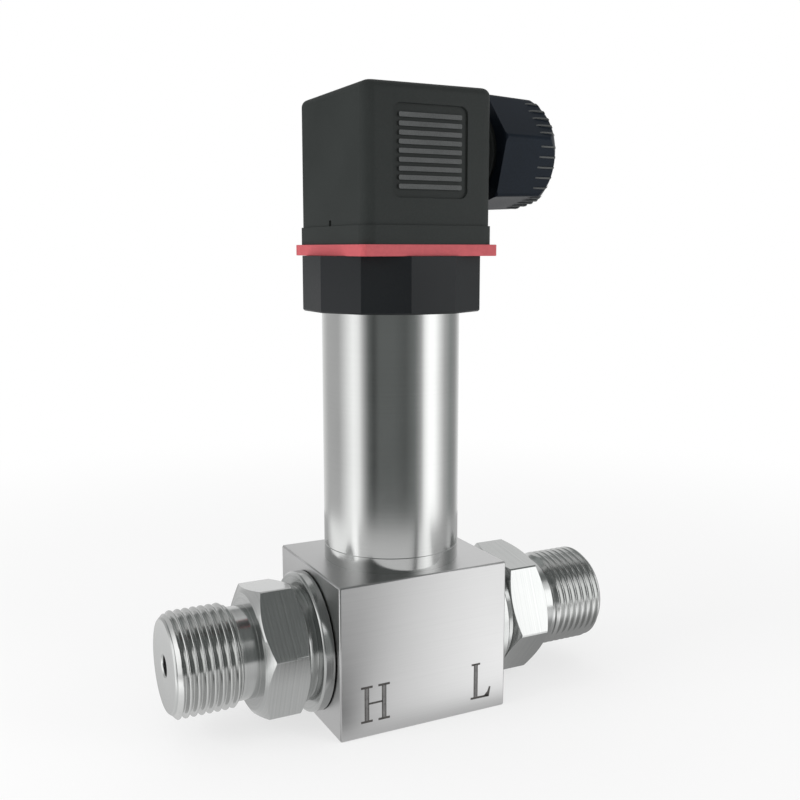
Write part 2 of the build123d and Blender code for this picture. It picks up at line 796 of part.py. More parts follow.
# Contact clips: a slot below takes the blade and a pad above takes the wire screw
clip_slot_top = blade_top + clip_slot_room
with BuildPart() as contact_clips:
    with BuildSketch(head_level(clip_bottom)):
        with PolarLocations(blade_radius, 4):
            Rectangle(clip_thickness, clip_width)
    extrude(amount=pad_bottom - clip_bottom)
    with BuildSketch(head_level(pad_bottom)):
        with PolarLocations(pad_radius, 4):
            Rectangle(clip_pad_length, clip_width)
    extrude(amount=clip_pad_thickness)
    with BuildSketch(head_level(clip_bottom)):
        with PolarLocations(blade_radius, 4):
            Rectangle(
                blade_thickness + clip_slot_room,
                blade_width + clip_slot_room,
            )
    extrude(amount=clip_slot_top - clip_bottom, mode=Mode.SUBTRACT)
    with BuildSketch(head_level(pad_bottom)):
        with PolarLocations(pad_radius, 4):
            Circle(terminal_screw_radius + fit_clearance)
    extrude(amount=clip_pad_thickness, mode=Mode.SUBTRACT)
save(contact_clips, "contact_clips")

with BuildPart() as terminal_screws:
    with BuildSketch(head_level(pad_bottom + seat_clearance)):
        with PolarLocations(pad_radius, 4):
            Circle(terminal_screw_radius)
    extrude(amount=terminal_top - pad_bottom - seat_clearance)
    with BuildSketch(head_level(terminal_top)):
        with PolarLocations(pad_radius, 4):
            Circle(terminal_head_radius)
    extrude(amount=terminal_head_height)
    with BuildSketch(head_level(terminal_top + terminal_head_height - terminal_slot_depth)):
        with PolarLocations(pad_radius, 4):
            Rectangle(2 * terminal_head_radius, screw_slot_width)
    extrude(amount=terminal_slot_depth, mode=Mode.SUBTRACT)
save(terminal_screws, "terminal_screws")

# Centre screw through the plug into the base, with its sealing ring
head_seat = recess_floor + screw_seal_thickness
with BuildPart() as screw_seal:
    with BuildSketch(head_level(recess_floor)):
        Circle(screw_head_radius + fit_clearance)
        Circle(screw_radius + fit_clearance, mode=Mode.SUBTRACT)
    extrude(amount=screw_seal_thickness)
save(screw_seal, "screw_seal")

with BuildPart() as centre_screw:
    with BuildSketch(head_level(base_top - screw_engagement)):
        Circle(screw_radius)
    extrude(amount=head_seat - base_top + screw_engagement)
    screw_tip = centre_screw.faces().sort_by(Axis.Z)[0].edges()
    chamfer(screw_tip, screw_tip_chamfer)
    with BuildSketch(head_level(head_seat)):
        Circle(screw_head_radius)
    extrude(amount=screw_head_height)
    fillet(centre_screw.faces().sort_by(Axis.Z)[-1].edges(), screw_head_round)
    with BuildSketch(head_level(head_seat + screw_head_height - screw_slot_depth)):
        Rectangle(2 * screw_head_radius, screw_slot_width)
    extrude(amount=screw_slot_depth, mode=Mode.SUBTRACT)
save(centre_screw, "centre_screw")

# Cable gland: rubber sleeve, thrust washer and nut
with BuildPart() as gland_grommet:
    with BuildSketch(gland_section):
        with BuildLine():
            Polyline(
                (grommet_back, grommet_bore_radius),
                (grommet_front, grommet_bore_radius),
                (grommet_front, grommet_radius - grommet_taper),
                (stub_end, grommet_radius),
                (grommet_back, grommet_radius),
                close=True,
            )
        make_face()
    revolve(axis=gland_axis)
save(gland_grommet, "gland_grommet")

with BuildPart() as gland_washer:
    with BuildSketch(across_gland(grommet_front)):
        Circle(gland_washer_radius)
        Circle(gland_washer_bore, mode=Mode.SUBTRACT)
    extrude(amount=gland_washer_thickness)
save(gland_washer, "gland_washer")

# Nut: tapered hexagon whose front is drawn in to a round rim, with thin grip ribs on each flat
nut_corner_radius = nut_back_flats / 2 / cos(pi / 6)
nut_front_corner = nut_front_flats / 2 / cos(pi / 6)
dome_start = nut_front - nut_dome_length


def dome_outline(extra):
    """Half outline of the nut's turned form, raised by extra."""
    side_radius = nut_corner_radius + extra
    rim_radius = nut_rim_radius + extra
    Polyline(
        (nut_front, 0),
        (nut_back, 0),
        (nut_back, side_radius - nut_back_chamfer),
        (nut_back + nut_back_chamfer, side_radius),
        (dome_start, side_radius),
    )
    RadiusArc((dome_start, side_radius), (nut_front, rim_radius), nut_dome_radius)
    Line((nut_front, rim_radius), (nut_front, 0))


with BuildPart() as grip_ribs:
    with BuildSketch(across_gland(nut_front - nut_rib_length)):
        with PolarLocations(nut_front_flats / 2, 6, start_angle=30 - nut_turn):
            with GridLocations(0, nut_rib_pitch, 1, nut_ribs_per_flat):
                Rectangle(2 * nut_rib_height, nut_rib_width)
    extrude(amount=nut_rib_length)
    with BuildSketch(gland_section):
        with BuildLine():
            dome_outline(nut_rib_height)
        make_face()
    revolve(axis=gland_axis, mode=Mode.INTERSECT)

with BuildPart() as gland_nut:
    with BuildSketch(across_gland(nut_back)):
        RegularPolygon(nut_corner_radius, 6, rotation=180 - nut_turn)
    with BuildSketch(across_gland(nut_front)):
        RegularPolygon(nut_front_corner, 6, rotation=180 - nut_turn)
    loft()
    with BuildSketch(gland_section):
        with BuildLine():
            dome_outline(0)
        make_face()
    revolve(axis=gland_axis, mode=Mode.INTERSECT)
    add(grip_ribs.part)
    with BuildSketch(across_gland(nut_back)):
        Circle(stub_thread_radius + thread_clearance)
    extrude(amount=nut_length - nut_lip, mode=Mode.SUBTRACT)
    with BuildSketch(across_gland(nut_front - nut_lip)):
        Circle(nut_exit_radius)
    extrude(amount=nut_lip, mode=Mode.SUBTRACT)
save(gland_nut, "gland_nut")

print("height", round(plug_top, 2), "port ends", round(port_end, 2))
print("gland nut from", round(nut_back, 2), "to", round(nut_front, 2), "at height", round(gland_height, 2))
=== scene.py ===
from math import ceil, cos, pi, radians, sin, sqrt, tan

import bmesh
import bpy
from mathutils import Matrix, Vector


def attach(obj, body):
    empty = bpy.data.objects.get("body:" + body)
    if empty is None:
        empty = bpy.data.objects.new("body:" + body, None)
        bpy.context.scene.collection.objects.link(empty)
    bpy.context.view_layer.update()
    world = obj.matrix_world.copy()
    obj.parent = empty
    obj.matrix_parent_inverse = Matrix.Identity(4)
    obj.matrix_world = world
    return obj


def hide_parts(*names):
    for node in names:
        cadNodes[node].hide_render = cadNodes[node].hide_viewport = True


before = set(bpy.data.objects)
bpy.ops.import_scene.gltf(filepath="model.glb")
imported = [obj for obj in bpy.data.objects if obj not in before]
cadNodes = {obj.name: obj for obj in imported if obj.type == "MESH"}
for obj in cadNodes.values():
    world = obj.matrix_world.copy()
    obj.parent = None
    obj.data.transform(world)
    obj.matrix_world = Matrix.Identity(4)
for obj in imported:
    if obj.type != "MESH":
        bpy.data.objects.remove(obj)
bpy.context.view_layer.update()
mm = 0.001
print("frame loaded,", len(cadNodes), "nodes")


# kinds of nodes, and settings, that come again and again
maths, combine, separate = "ShaderNodeMath", "ShaderNodeCombineXYZ", "ShaderNodeSeparateXYZ"
mapRange, noise = "ShaderNodeMapRange", "ShaderNodeTexNoise"
plus, minus, times, timesPlus, larger, smaller = (
    {"operation": word} for word in ("ADD", "SUBTRACT", "MULTIPLY", "MULTIPLY_ADD", "MAXIMUM", "MINIMUM")
)
floatMix = {"data_type": "FLOAT"}

# small helpers


def toLinear(hexColour):
    channels = []
    for start in (0, 2, 4):
        value = int(hexColour[start:start + 2], 16) / 255
        channels.append(value / 12.92 if value <= 0.04045 else ((value + 0.055) / 1.055) ** 2.4)
    return (*channels, 1.0)


def addNode(tree, kind, settings=None, inputs=None):
    # hands back the new node's outputs
    node = tree.nodes.new(kind)
    for name, value in (settings or {}).items():
        setattr(node, name, value)
    for name, value in (inputs or {}).items():
        if isinstance(value, bpy.types.NodeSocket):
            tree.links.new(value, node.inputs[name])
        else:
            node.inputs[name].default_value = value
    return node.outputs


def startMaterial(name):
    material = bpy.data.materials.new(name)
    material.use_nodes = True
    return material, material.node_tree, material.node_tree.nodes["Principled BSDF"]


def meshPiece(name, mesh):
    piece = bpy.data.objects.new(name, mesh)
    bpy.context.scene.collection.objects.link(piece)
    return piece


def builtPiece(name, build):
    mesh = bpy.data.meshes.new(name)
    build.to_mesh(mesh)
    build.free()
    return meshPiece(name, mesh)


def applied(piece):
    # live modifiers become a plain mesh
    depsgraph = bpy.context.evaluated_depsgraph_get()
    plain = bpy.data.meshes.new_from_object(piece.evaluated_get(depsgraph))
    piece.modifiers.clear()
    piece.data = plain
    return plain


def settle(piece, sharpAngle):
    # a plain mesh, smoothed between edges sharper than the angle
    plain = applied(piece)
    for face in plain.polygons:
        face.use_smooth = True
    plain.set_sharp_from_angle(angle=radians(sharpAngle))
    return piece


def breakEdges(piece, width, limitAngle, segments=2, sharpAngle=50):
    # a small round on every edge, with shading that leaves the flats flat
    bevel = piece.modifiers.new("brokenEdges", "BEVEL")
    bevel.width = width
    bevel.segments = segments
    bevel.limit_method = "ANGLE"
    bevel.angle_limit = radians(limitAngle)
    bevel.use_clamp_overlap = True
    settle(piece, sharpAngle)
    flatten = piece.modifiers.new("flatFaces", "WEIGHTED_NORMAL")
    flatten.keep_sharp = True
    flatten.weight = 90
    applied(piece)


def dress(piece, material, body, slot, *replacedNodes):
    piece.data.materials.clear()
    piece.data.materials.append(material)
    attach(piece, body)
    if replacedNodes:
        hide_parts(*replacedNodes)


def roundAngles(count):
    return [2 * pi * step / count for step in range(count)]


def hexAngles(corner, cut, steps=30):
    # each side runs from just after one corner to just before the next, so the corners come out broken
    side, run = pi / 3, pi / 3 - 2 * cut
    starts = [corner + number * side + cut for number in range(6)]
    return [start + run * step / steps for start in starts for step in range(steps + 1)]


cleaning = {"turnedGap": 1e-7, "cadGap": 2e-6, "flatAngle": radians(0.4)}


def turned(name, outline, angles, place):
    # outline(angle) gives a closed loop of (along, radius) points; place() puts one in space
    build = bmesh.new()
    rings = []
    for angle in angles:
        rings.append([build.verts.new(place(along, radius, angle)) for along, radius in outline(angle)])
    count = len(rings[0])
    for step in range(len(rings)):
        here, there = rings[step], rings[(step + 1) % len(rings)]
        for spot in range(count):
            after = (spot + 1) % count
            build.faces.new((here[spot], here[after], there[after], there[spot]))
    bmesh.ops.remove_doubles(build, verts=build.verts, dist=cleaning["turnedGap"])
    bmesh.ops.dissolve_degenerate(build, edges=build.edges, dist=cleaning["turnedGap"])
    bmesh.ops.recalc_face_normals(build, faces=build.faces)
    return builtPiece(name, build)


def copyOfNode(name, node):
    # the CAD node is loose triangles: the copy is joined up and its flat faces are cleaned
    build = bmesh.new()
    build.from_mesh(cadNodes[node].data)
    bmesh.ops.remove_doubles(build, verts=build.verts, dist=cleaning["cadGap"])
    bmesh.ops.dissolve_limit(
        build, angle_limit=cleaning["flatAngle"], verts=build.verts, edges=build.edges,
        use_dissolve_boundaries=False,
    )
    return builtPiece(name, build)


# materials

# the part of the mixed pattern over which tone and roughness change
spreads = {"metal": (0.3, 0.7), "solid": (0.32, 0.68)}


def spreadGrain(tree, shader, look, grain, cloud, cloudShare, spread):
    # tone and roughness follow grain and cloud together, the bump follows the grain alone
    share = addNode(tree, "ShaderNodeMix", floatMix, {0: cloudShare, 2: grain, 3: cloud})[0]
    tone = addNode(tree, "ShaderNodeValToRGB", inputs={0: share})
    elements = tone[0].node.color_ramp.elements
    for element, place, shade in zip(elements, spread, (look["dark"], look["light"])):
        element.position = place
        element.color = toLinear(shade)
    gloss = addNode(
        tree, mapRange,
        inputs={"Value": share, "From Min": spread[0], "From Max": spread[1],
                "To Min": look["roughness"][0], "To Max": look["roughness"][1]},
    )
    bump = addNode(
        tree, "ShaderNodeBump", inputs={"Height": grain, "Strength": look["bump"], "Distance": look["depth"]}
    )
    tree.links.new(tone["Color"], shader.inputs["Base Color"])
    tree.links.new(gloss["Result"], shader.inputs["Roughness"])
    tree.links.new(bump["Normal"], shader.inputs["Normal"])


def grainedMetal(name, look):
    # look: scale is in waves a metre, for ground steel along each axis; the cloud is a slow drift of tone
    material, tree, shader = startMaterial(name)
    coords = addNode(tree, "ShaderNodeTexCoord")
    if look["pattern"] == "ground":
        place = addNode(
            tree, "ShaderNodeMapping", inputs={"Vector": coords["Object"], "Scale": look["scale"]}
        )
        grain = addNode(
            tree, noise,
            inputs={"Vector": place["Vector"], "Scale": 1.0, "Detail": 4.0, "Roughness": 0.6},
        )
    else:
        # tool marks: rings round the centre on an end face, hoops across the axis everywhere else
        centred = addNode(
            tree, "ShaderNodeMapping", inputs={"Vector": coords["Object"], "Location": look["centre"]}
        )
        parts = addNode(tree, separate, inputs={"Vector": centred["Vector"]})
        facing = addNode(tree, separate, inputs={"Vector": coords["Normal"]})
        across = [axis for axis in "XYZ" if axis != look["axis"]]
        flat = addNode(tree, combine, inputs={0: parts[across[0]], 1: parts[across[1]]})
        outward = addNode(tree, "ShaderNodeVectorMath", {"operation": "LENGTH"}, {0: flat["Vector"]})
        turnedAway = addNode(tree, maths, {"operation": "ABSOLUTE"}, {0: facing[look["axis"]]})
        onEnd = addNode(tree, maths, {"operation": "GREATER_THAN"}, {0: turnedAway[0], 1: 0.95})
        travel = addNode(
            tree, "ShaderNodeMix", floatMix,
            {0: onEnd[0], 2: parts[look["axis"]], 3: outward["Value"]},
        )
        grain = addNode(
            tree, noise, {"noise_dimensions": "1D"},
            {"W": travel[0], "Scale": look["scale"], "Detail": 3.0, "Roughness": 0.7},
        )
    cloud = addNode(
        tree, noise,
        inputs={"Vector": coords["Object"], "Scale": look["cloud"], "Detail": 3.0, "Roughness": 0.55},
    )
    grains = grain["Fac"], cloud["Fac"]
    spreadGrain(tree, shader, look, *grains, look["cloudShare"], spreads["metal"])
    shader.inputs["Metallic"].default_value = 1.0
    return material


portHeight = 15.0 * mm
glandHeight = 110.5 * mm

# block of 1.4404 bar, belt-ground lengthways: soft long streaks, satin sheen
groundStainless = grainedMetal("groundStainless", {
    "pattern": "ground", "scale": (25.0, 2600.0, 2600.0), "cloud": 45.0, "cloudShare": 0.5,
    "dark": "c4c4c4", "light": "cccccc", "roughness": (0.30, 0.36), "bump": 0.12, "depth": 0.003 * mm,
})
# drawn stainless tube, polished: mirror-like upright streaks with faint rings
polishedTube = grainedMetal("polishedTube", {
    "pattern": "turned", "axis": "Z", "centre": (0.0, 0.0, 0.0), "scale": 2600.0, "cloud": 90.0,
    "cloudShare": 0.6, "dark": "bcbdbc", "light": "c4c5c4", "roughness": (0.13, 0.18), "bump": 0.08,
    "depth": 0.002 * mm,
})
# fittings turned from hexagon bar: bright, with fine tool rings about the port axis
turnedStainless = grainedMetal("turnedStainless", {
    "pattern": "turned", "axis": "X", "centre": (0.0, 0.0, -portHeight), "scale": 2600.0, "cloud": 120.0,
    "cloudShare": 0.3, "dark": "b5b7b6", "light": "c6c7c6", "roughness": (0.15, 0.25), "bump": 0.3,
    "depth": 0.003 * mm,
})
# rolled thread: flanks pressed smooth, so black and white bands stand side by side
rolledStainless = grainedMetal("rolledStainless", {
    "pattern": "turned", "axis": "X", "centre": (0.0, 0.0, -portHeight), "scale": 300.0, "cloud": 200.0,
    "cloudShare": 0.7, "dark": "c6c7c6", "light": "d0d1d0", "roughness": (0.15, 0.19), "bump": 0.0,
    "depth": 0.003 * mm,
})
# zinc-plated steel screws: slightly blue and soft
zincPlatedSteel = grainedMetal("zincPlatedSteel", {
    "pattern": "turned", "axis": "Z", "centre": (-0.4 * mm, 0.0, 0.0), "scale": 3000.0, "cloud": 400.0,
    "cloudShare": 0.5, "dark": "a4a8ac", "light": "bfc3c6", "roughness": (0.22, 0.36), "bump": 0.15,
    "depth": 0.004 * mm,
})
# tin over brass on blades and clips: warm grey, rolled strip
tinPlatedBrass = grainedMetal("tinPlatedBrass", {
    "pattern": "ground", "scale": (3000.0, 3000.0, 90.0), "cloud": 300.0, "cloudShare": 0.5,
    "dark": "b3ad9d", "light": "cbc6b8", "roughness": (0.25, 0.4), "bump": 0.15, "depth": 0.003 * mm,
})
# free-cutting brass insert and gold-plated pins
turnedBrass = grainedMetal("turnedBrass", {
    "pattern": "turned", "axis": "Z", "centre": (-0.4 * mm, 0.0, 0.0), "scale": 2800.0, "cloud": 300.0,
    "cloudShare": 0.4, "dark": "b98d43", "light": "d4ab5f", "roughness": (0.2, 0.34), "bump": 0.15,
    "depth": 0.004 * mm,
})
print("metals ready")


def grainedSolid(name, look):
    # plastics, rubber, glass and laminate: a fine skin grain, a soft cloud of tone and a bump from both
    material, tree, shader = startMaterial(name)
    coords = addNode(tree, "ShaderNodeTexCoord")
    skin = addNode(
        tree, noise,
        inputs={"Vector": coords["Object"], "Scale": look["skin"], "Detail": 3.0, "Roughness": 0.6},
    )
    cloud = addNode(
        tree, noise,
        inputs={"Vector": coords["Object"], "Scale": look["cloud"], "Detail": 2.0, "Roughness": 0.5},
    )
    spreadGrain(tree, shader, look, skin["Fac"], cloud["Fac"], 0.5, spreads["solid"])
    shader.inputs["IOR"].default_value = look.get("ior", 1.5)
    shader.inputs["Specular IOR Level"].default_value = look.get("sheen", 0.5)
    return material


# spark-eroded mould skin on black glass-filled nylon: dull, very fine pebble
mouldedNylon = grainedSolid("mouldedNylon", {
    "skin": 3600.0, "cloud": 70.0, "dark": "262928", "light": "2e3130", "roughness": (0.5, 0.62),
    "bump": 0.5, "depth": 0.02 * mm, "ior": 1.53, "sheen": 0.16,
})
# the base comes from a smoother mould: darker and a little tighter
baseNylon = grainedSolid("baseNylon", {
    "skin": 3000.0, "cloud": 60.0, "dark": "15171a", "light": "1b1e20", "roughness": (0.34, 0.46),
    "bump": 0.35, "depth": 0.015 * mm, "ior": 1.53, "sheen": 0.24,
})
# gland nut: unfilled nylon, blue-black with a half gloss
glandNylon = grainedSolid("glandNylon", {
    "skin": 2600.0, "cloud": 80.0, "dark": "141a21", "light": "1c232c", "roughness": (0.34, 0.46),
    "bump": 0.25, "depth": 0.012 * mm, "ior": 1.53, "sheen": 0.08,
})
# the same nylon made paler for the rib tops: a painted highlight where the ridges catch the light
ribHighlightNylon = grainedSolid("ribHighlightNylon", {
    "skin": 4200.0, "cloud": 160.0, "dark": "3f4141", "light": "535555", "roughness": (0.5, 0.65),
    "bump": 0.6, "depth": 0.02 * mm, "ior": 1.53, "sheen": 0.3,
})
# pressed silicone rubber, red, dull with a powdery skin
redSilicone = grainedSolid("redSilicone", {
    "skin": 1800.0, "cloud": 900.0, "dark": "b14d53", "light": "bb565b", "roughness": (0.55, 0.75),
    "bump": 0.5, "depth": 0.03 * mm, "ior": 1.41,
})
# nitrile rubber seals and the gland's sleeve
nitrileRubber = grainedSolid("nitrileRubber", {
    "skin": 2500.0, "cloud": 300.0, "dark": "131313", "light": "1d1d1d", "roughness": (0.55, 0.8),
    "bump": 0.4, "depth": 0.02 * mm, "ior": 1.52,
})
# letters cut by laser: a dark, dry oxide skin in the ground steel
laserOxide = grainedSolid("laserOxide", {
    "skin": 5200.0, "cloud": 900.0, "dark": "333130", "light": "55524f", "roughness": (0.6, 0.8),
    "bump": 0.5, "depth": 0.02 * mm,
})
# middle of the broad strokes, where the laser ran faster: half metal, half oxide
paleOxide = grainedSolid("paleOxide", {
    "skin": 5200.0, "cloud": 900.0, "dark": "5a5959", "light": "7a7978", "roughness": (0.5, 0.7),
    "bump": 0.5, "depth": 0.02 * mm,
})
# grey nylon of the terminal insert
greyNylon = grainedSolid("greyNylon", {
    "skin": 2800.0, "cloud": 120.0, "dark": "54585a", "light": "63686a", "roughness": (0.45, 0.6),
    "bump": 0.35, "depth": 0.015 * mm, "ior": 1.53,
})
# natural nylon of the board holder
naturalNylon = grainedSolid("naturalNylon", {
    "skin": 2200.0, "cloud": 150.0, "dark": "d2cdbd", "light": "e2ddd0", "roughness": (0.4, 0.55),
    "bump": 0.3, "depth": 0.01 * mm, "ior": 1.53,
})
# green solder mask over woven glass
solderMask = grainedSolid("solderMask", {
    "skin": 1600.0, "cloud": 500.0, "dark": "0e4a27", "light": "17603a", "roughness": (0.25, 0.4),
    "bump": 0.3, "depth": 0.01 * mm,
})
# epoxy chip bodies
mouldedEpoxy = grainedSolid("mouldedEpoxy", {
    "skin": 4200.0, "cloud": 700.0, "dark": "1b1b1c", "light": "2a2a2c", "roughness": (0.5, 0.65),
    "bump": 0.4, "depth": 0.01 * mm,
})
# dark shrink sleeve on the capacitors
shrinkSleeve = grainedSolid("shrinkSleeve", {
    "skin": 2600.0, "cloud": 400.0, "dark": "1a1f2b", "light": "273042", "roughness": (0.2, 0.35),
    "bump": 0.15, "depth": 0.01 * mm,
})
# blue thermoset of the trimmers
blueThermoset = grainedSolid("blueThermoset", {
    "skin": 2600.0, "cloud": 400.0, "dark": "1c4f9c", "light": "2a63b6", "roughness": (0.3, 0.45),
    "bump": 0.25, "depth": 0.01 * mm,
})
# silicone-rubber sleeve on the leads
leadSleeve = grainedSolid("leadSleeve", {
    "skin": 2400.0, "cloud": 300.0, "dark": "cfcbc2", "light": "e4e1d9", "roughness": (0.45, 0.6),
    "bump": 0.25, "depth": 0.01 * mm,
})
# fused glass of the header and the silicon chip on it
fusedGlass = grainedSolid("fusedGlass", {
    "skin": 1500.0, "cloud": 500.0, "dark": "3c5a52", "light": "54746b", "roughness": (0.06, 0.15),
    "bump": 0.1, "depth": 0.01 * mm,
})
siliconDie = grainedSolid("siliconDie", {
    "skin": 2500.0, "cloud": 900.0, "dark": "2c3038", "light": "444a55", "roughness": (0.1, 0.2),
    "bump": 0.1, "depth": 0.005 * mm, "ior": 1.9,
})
print("plastics and rubber ready")

nodeMaterials = (
    (nitrileRubber, ("high_collar_seal", "low_collar_seal", "high_inner_seal", "low_inner_seal", "base_seal",
                     "gland_grommet", "screw_seal")),
    (turnedStainless, ("sensor_capsule", "high_diaphragm", "low_diaphragm", "high_weld_ring",
                       "low_weld_ring")),
    (fusedGlass, ("sensor_header",)),
    (siliconDie, ("pressure_chip",)),
    (turnedBrass, ("header_pins", "screw_insert")),
    (leadSleeve, ("sensor_leads", "board_leads")),
    (naturalNylon, ("board_holder",)),
    (solderMask, ("circuit_board",)),
    (mouldedEpoxy, ("board_chips",)),
    (shrinkSleeve, ("board_capacitors",)),
    (blueThermoset, ("board_trimmers",)),
    (tinPlatedBrass, ("contact_blades", "earth_blade", "contact_clips")),
    (greyNylon, ("terminal_insert",)),
    (zincPlatedSteel, ("terminal_screws", "centre_screw", "gland_washer")),
)
for material, nodeNames in nodeMaterials:
    for nodeName in nodeNames:
        meshData = cadNodes[nodeName].data
        meshData.materials.clear()
        meshData.materials.append(material)
print("CAD nodes dressed")

# housing tube

tube = {
    "outer": 13.5 * mm, "inner": 12.2 * mm, "bottom": 33.2 * mm, "top": 82.8 * mm, "seam": 0.08 * mm,
    "segments": 192, "sharpAngle": 30,
}


def aboutZ(along, radius, angle):
    return (radius * cos(angle), radius * sin(angle), along)


def tubeOutline(angle):
    seam = tube["seam"]
    return [
        (tube["bottom"], tube["inner"]),
        (tube["bottom"], tube["outer"] - seam),
        (tube["bottom"] + seam, tube["outer"]),
        (tube["top"] - seam, tube["outer"]),
        (tube["top"], tube["outer"] - seam),
        (tube["top"], tube["inner"]),
    ]


tubeAngles = roundAngles(tube["segments"])
housingTube = settle(turned("housingTube", tubeOutline, tubeAngles, aboutZ), tube["sharpAngle"])
dress(housingTube, polishedTube, "transmitter", "stainless_tube", "housing_tube")

neck = {
    "bottom": 30.2 * mm, "ringTop": 33.2 * mm, "spigotTop": 36.7 * mm, "spigot": 12.15 * mm,
    "bore": 5.0 * mm,
}


def neckOutline(angle):
    seam = tube["seam"]
    return [
        (neck["bottom"], neck["bore"]),
        (neck["bottom"], tube["outer"]),
        (neck["ringTop"] - seam, tube["outer"]),
        (neck["ringTop"], tube["outer"] - seam),
        (neck["ringTop"], neck["spigot"]),
        (neck["spigotTop"], neck["spigot"]),
        (neck["spigotTop"], neck["bore"]),
    ]


neckRing = settle(turned("neckRing", neckOutline, tubeAngles, aboutZ), tube["sharpAngle"])
dress(neckRing, polishedTube, "transmitter", "stainless_tube", "neck_ring")
print("tube ready")

# port fittings

fitting = {
    "spigotEnd": 7.05, "spigotRadius": 10.0, "dishRadius": 6.8, "dishDepth": 0.8,
    "collarInner": 18.25, "collarOuter": 20.4, "collarRadius": 13.7, "collarEdge": 0.35,
    "grooveRadius": 10.9, "grooveOuter": 21.3, "shoulderRadius": 11.6, "hexInner": 22.35, "hexOuter": 31.1,
    "acrossFlats": 24.0, "innerFace": 11.9, "outerFace": 11.2, "neckRadius": 8.9, "neckEnd": 34.3,
    "coreRadius": 9.05, "undercut": 0.15, "portEnd": 47.0, "faceRadius": 8.65, "boreRadius": 2.0,
    "boreMouth": 0.3, "chamferAngle": radians(30), "cornerCut": radians(0.8),
}
fittingEdge = {"width": 0.1 * mm, "limitAngle": 24}
thread = {
    "pitch": 1.5 * mm, "crest": 10.0 * mm, "root": 9.08 * mm, "endChamfer": 1.35 * mm, "tuck": 0.04 * mm,
    "rows": 25, "stepsPerTurn": 144, "joinWithin": 0.001 * mm, "sharpAngle": 85,
}
hexTurns = {"high": 10.0, "low": 189.0}   # a corner's angle from +Y towards +Z, before the side is turned


def fittingOutline(cornerAngle):
    f = fitting
    slope = tan(f["chamferAngle"])
    coreEnd = f["portEnd"] + f["faceRadius"] - f["coreRadius"]
    mouthRadius, dishBottom = f["boreRadius"] + f["boreMouth"], f["spigotEnd"] + f["dishDepth"]

    def outline(angle):
        offCorner = (angle - cornerAngle) % (pi / 3) - pi / 6
        hexRadius = f["acrossFlats"] / 2 / cos(offCorner)
        innerEdge = f["hexInner"] + (hexRadius - f["innerFace"]) * slope
        outerEdge = f["hexOuter"] - (hexRadius - f["outerFace"]) * slope
        points = [
            (f["spigotEnd"], f["dishRadius"]), (f["spigotEnd"], f["spigotRadius"]),
            (f["collarInner"], f["spigotRadius"]), (f["collarInner"], f["collarRadius"]),
            (f["collarOuter"] - f["collarEdge"], f["collarRadius"]),
            (f["collarOuter"], f["collarRadius"] - f["collarEdge"]), (f["collarOuter"], f["grooveRadius"]),
            (f["grooveOuter"], f["grooveRadius"]), (f["grooveOuter"], f["shoulderRadius"]),
            (f["hexInner"], f["shoulderRadius"]), (f["hexInner"], f["innerFace"]),
            (innerEdge, hexRadius), (outerEdge, hexRadius),
            (f["hexOuter"], f["outerFace"]), (f["hexOuter"], f["neckRadius"]),
            (f["neckEnd"], f["neckRadius"]), (f["neckEnd"] + f["undercut"], f["coreRadius"]),
            (coreEnd, f["coreRadius"]), (f["portEnd"], f["faceRadius"]), (f["portEnd"], mouthRadius),
            (f["portEnd"] - f["boreMouth"], f["boreRadius"]), (dishBottom, f["boreRadius"]),
            (dishBottom, f["dishRadius"]),
        ]
        return [(along * mm, radius * mm) for along, radius in points]

    return outline


def aboutAxis(side, height):
    def place(along, radius, angle):
        return (side * along, side * radius * cos(angle), height + radius * sin(angle))
    return place


def openTree(name, floats, wholes):
    # a node tree with named inputs and the sockets that read them
    tree = bpy.data.node_groups.new(name, "GeometryNodeTree")
    labels = [("Geometry", "Geometry")] + [(label, "Float") for label in floats]
    labels += [(label, "Int") for label in wholes] + [("Material", "Material")]
    for label, kind in labels:
        tree.interface.new_socket(label, in_out="INPUT", socket_type="NodeSocket" + kind)
    tree.interface.new_socket("Geometry", in_out="OUTPUT", socket_type="NodeSocketGeometry")
    return tree, addNode(tree, "NodeGroupInput")


def closeTree(tree, geometry, material):
    real = addNode(tree, "GeometryNodeRealizeInstances", inputs={"Geometry": geometry})
    painted = addNode(
        tree, "GeometryNodeSetMaterial", inputs={"Geometry": real[0], "Material": material}
    )
    addNode(tree, "NodeGroupOutput", inputs={"Geometry": painted[0]})
    return tree


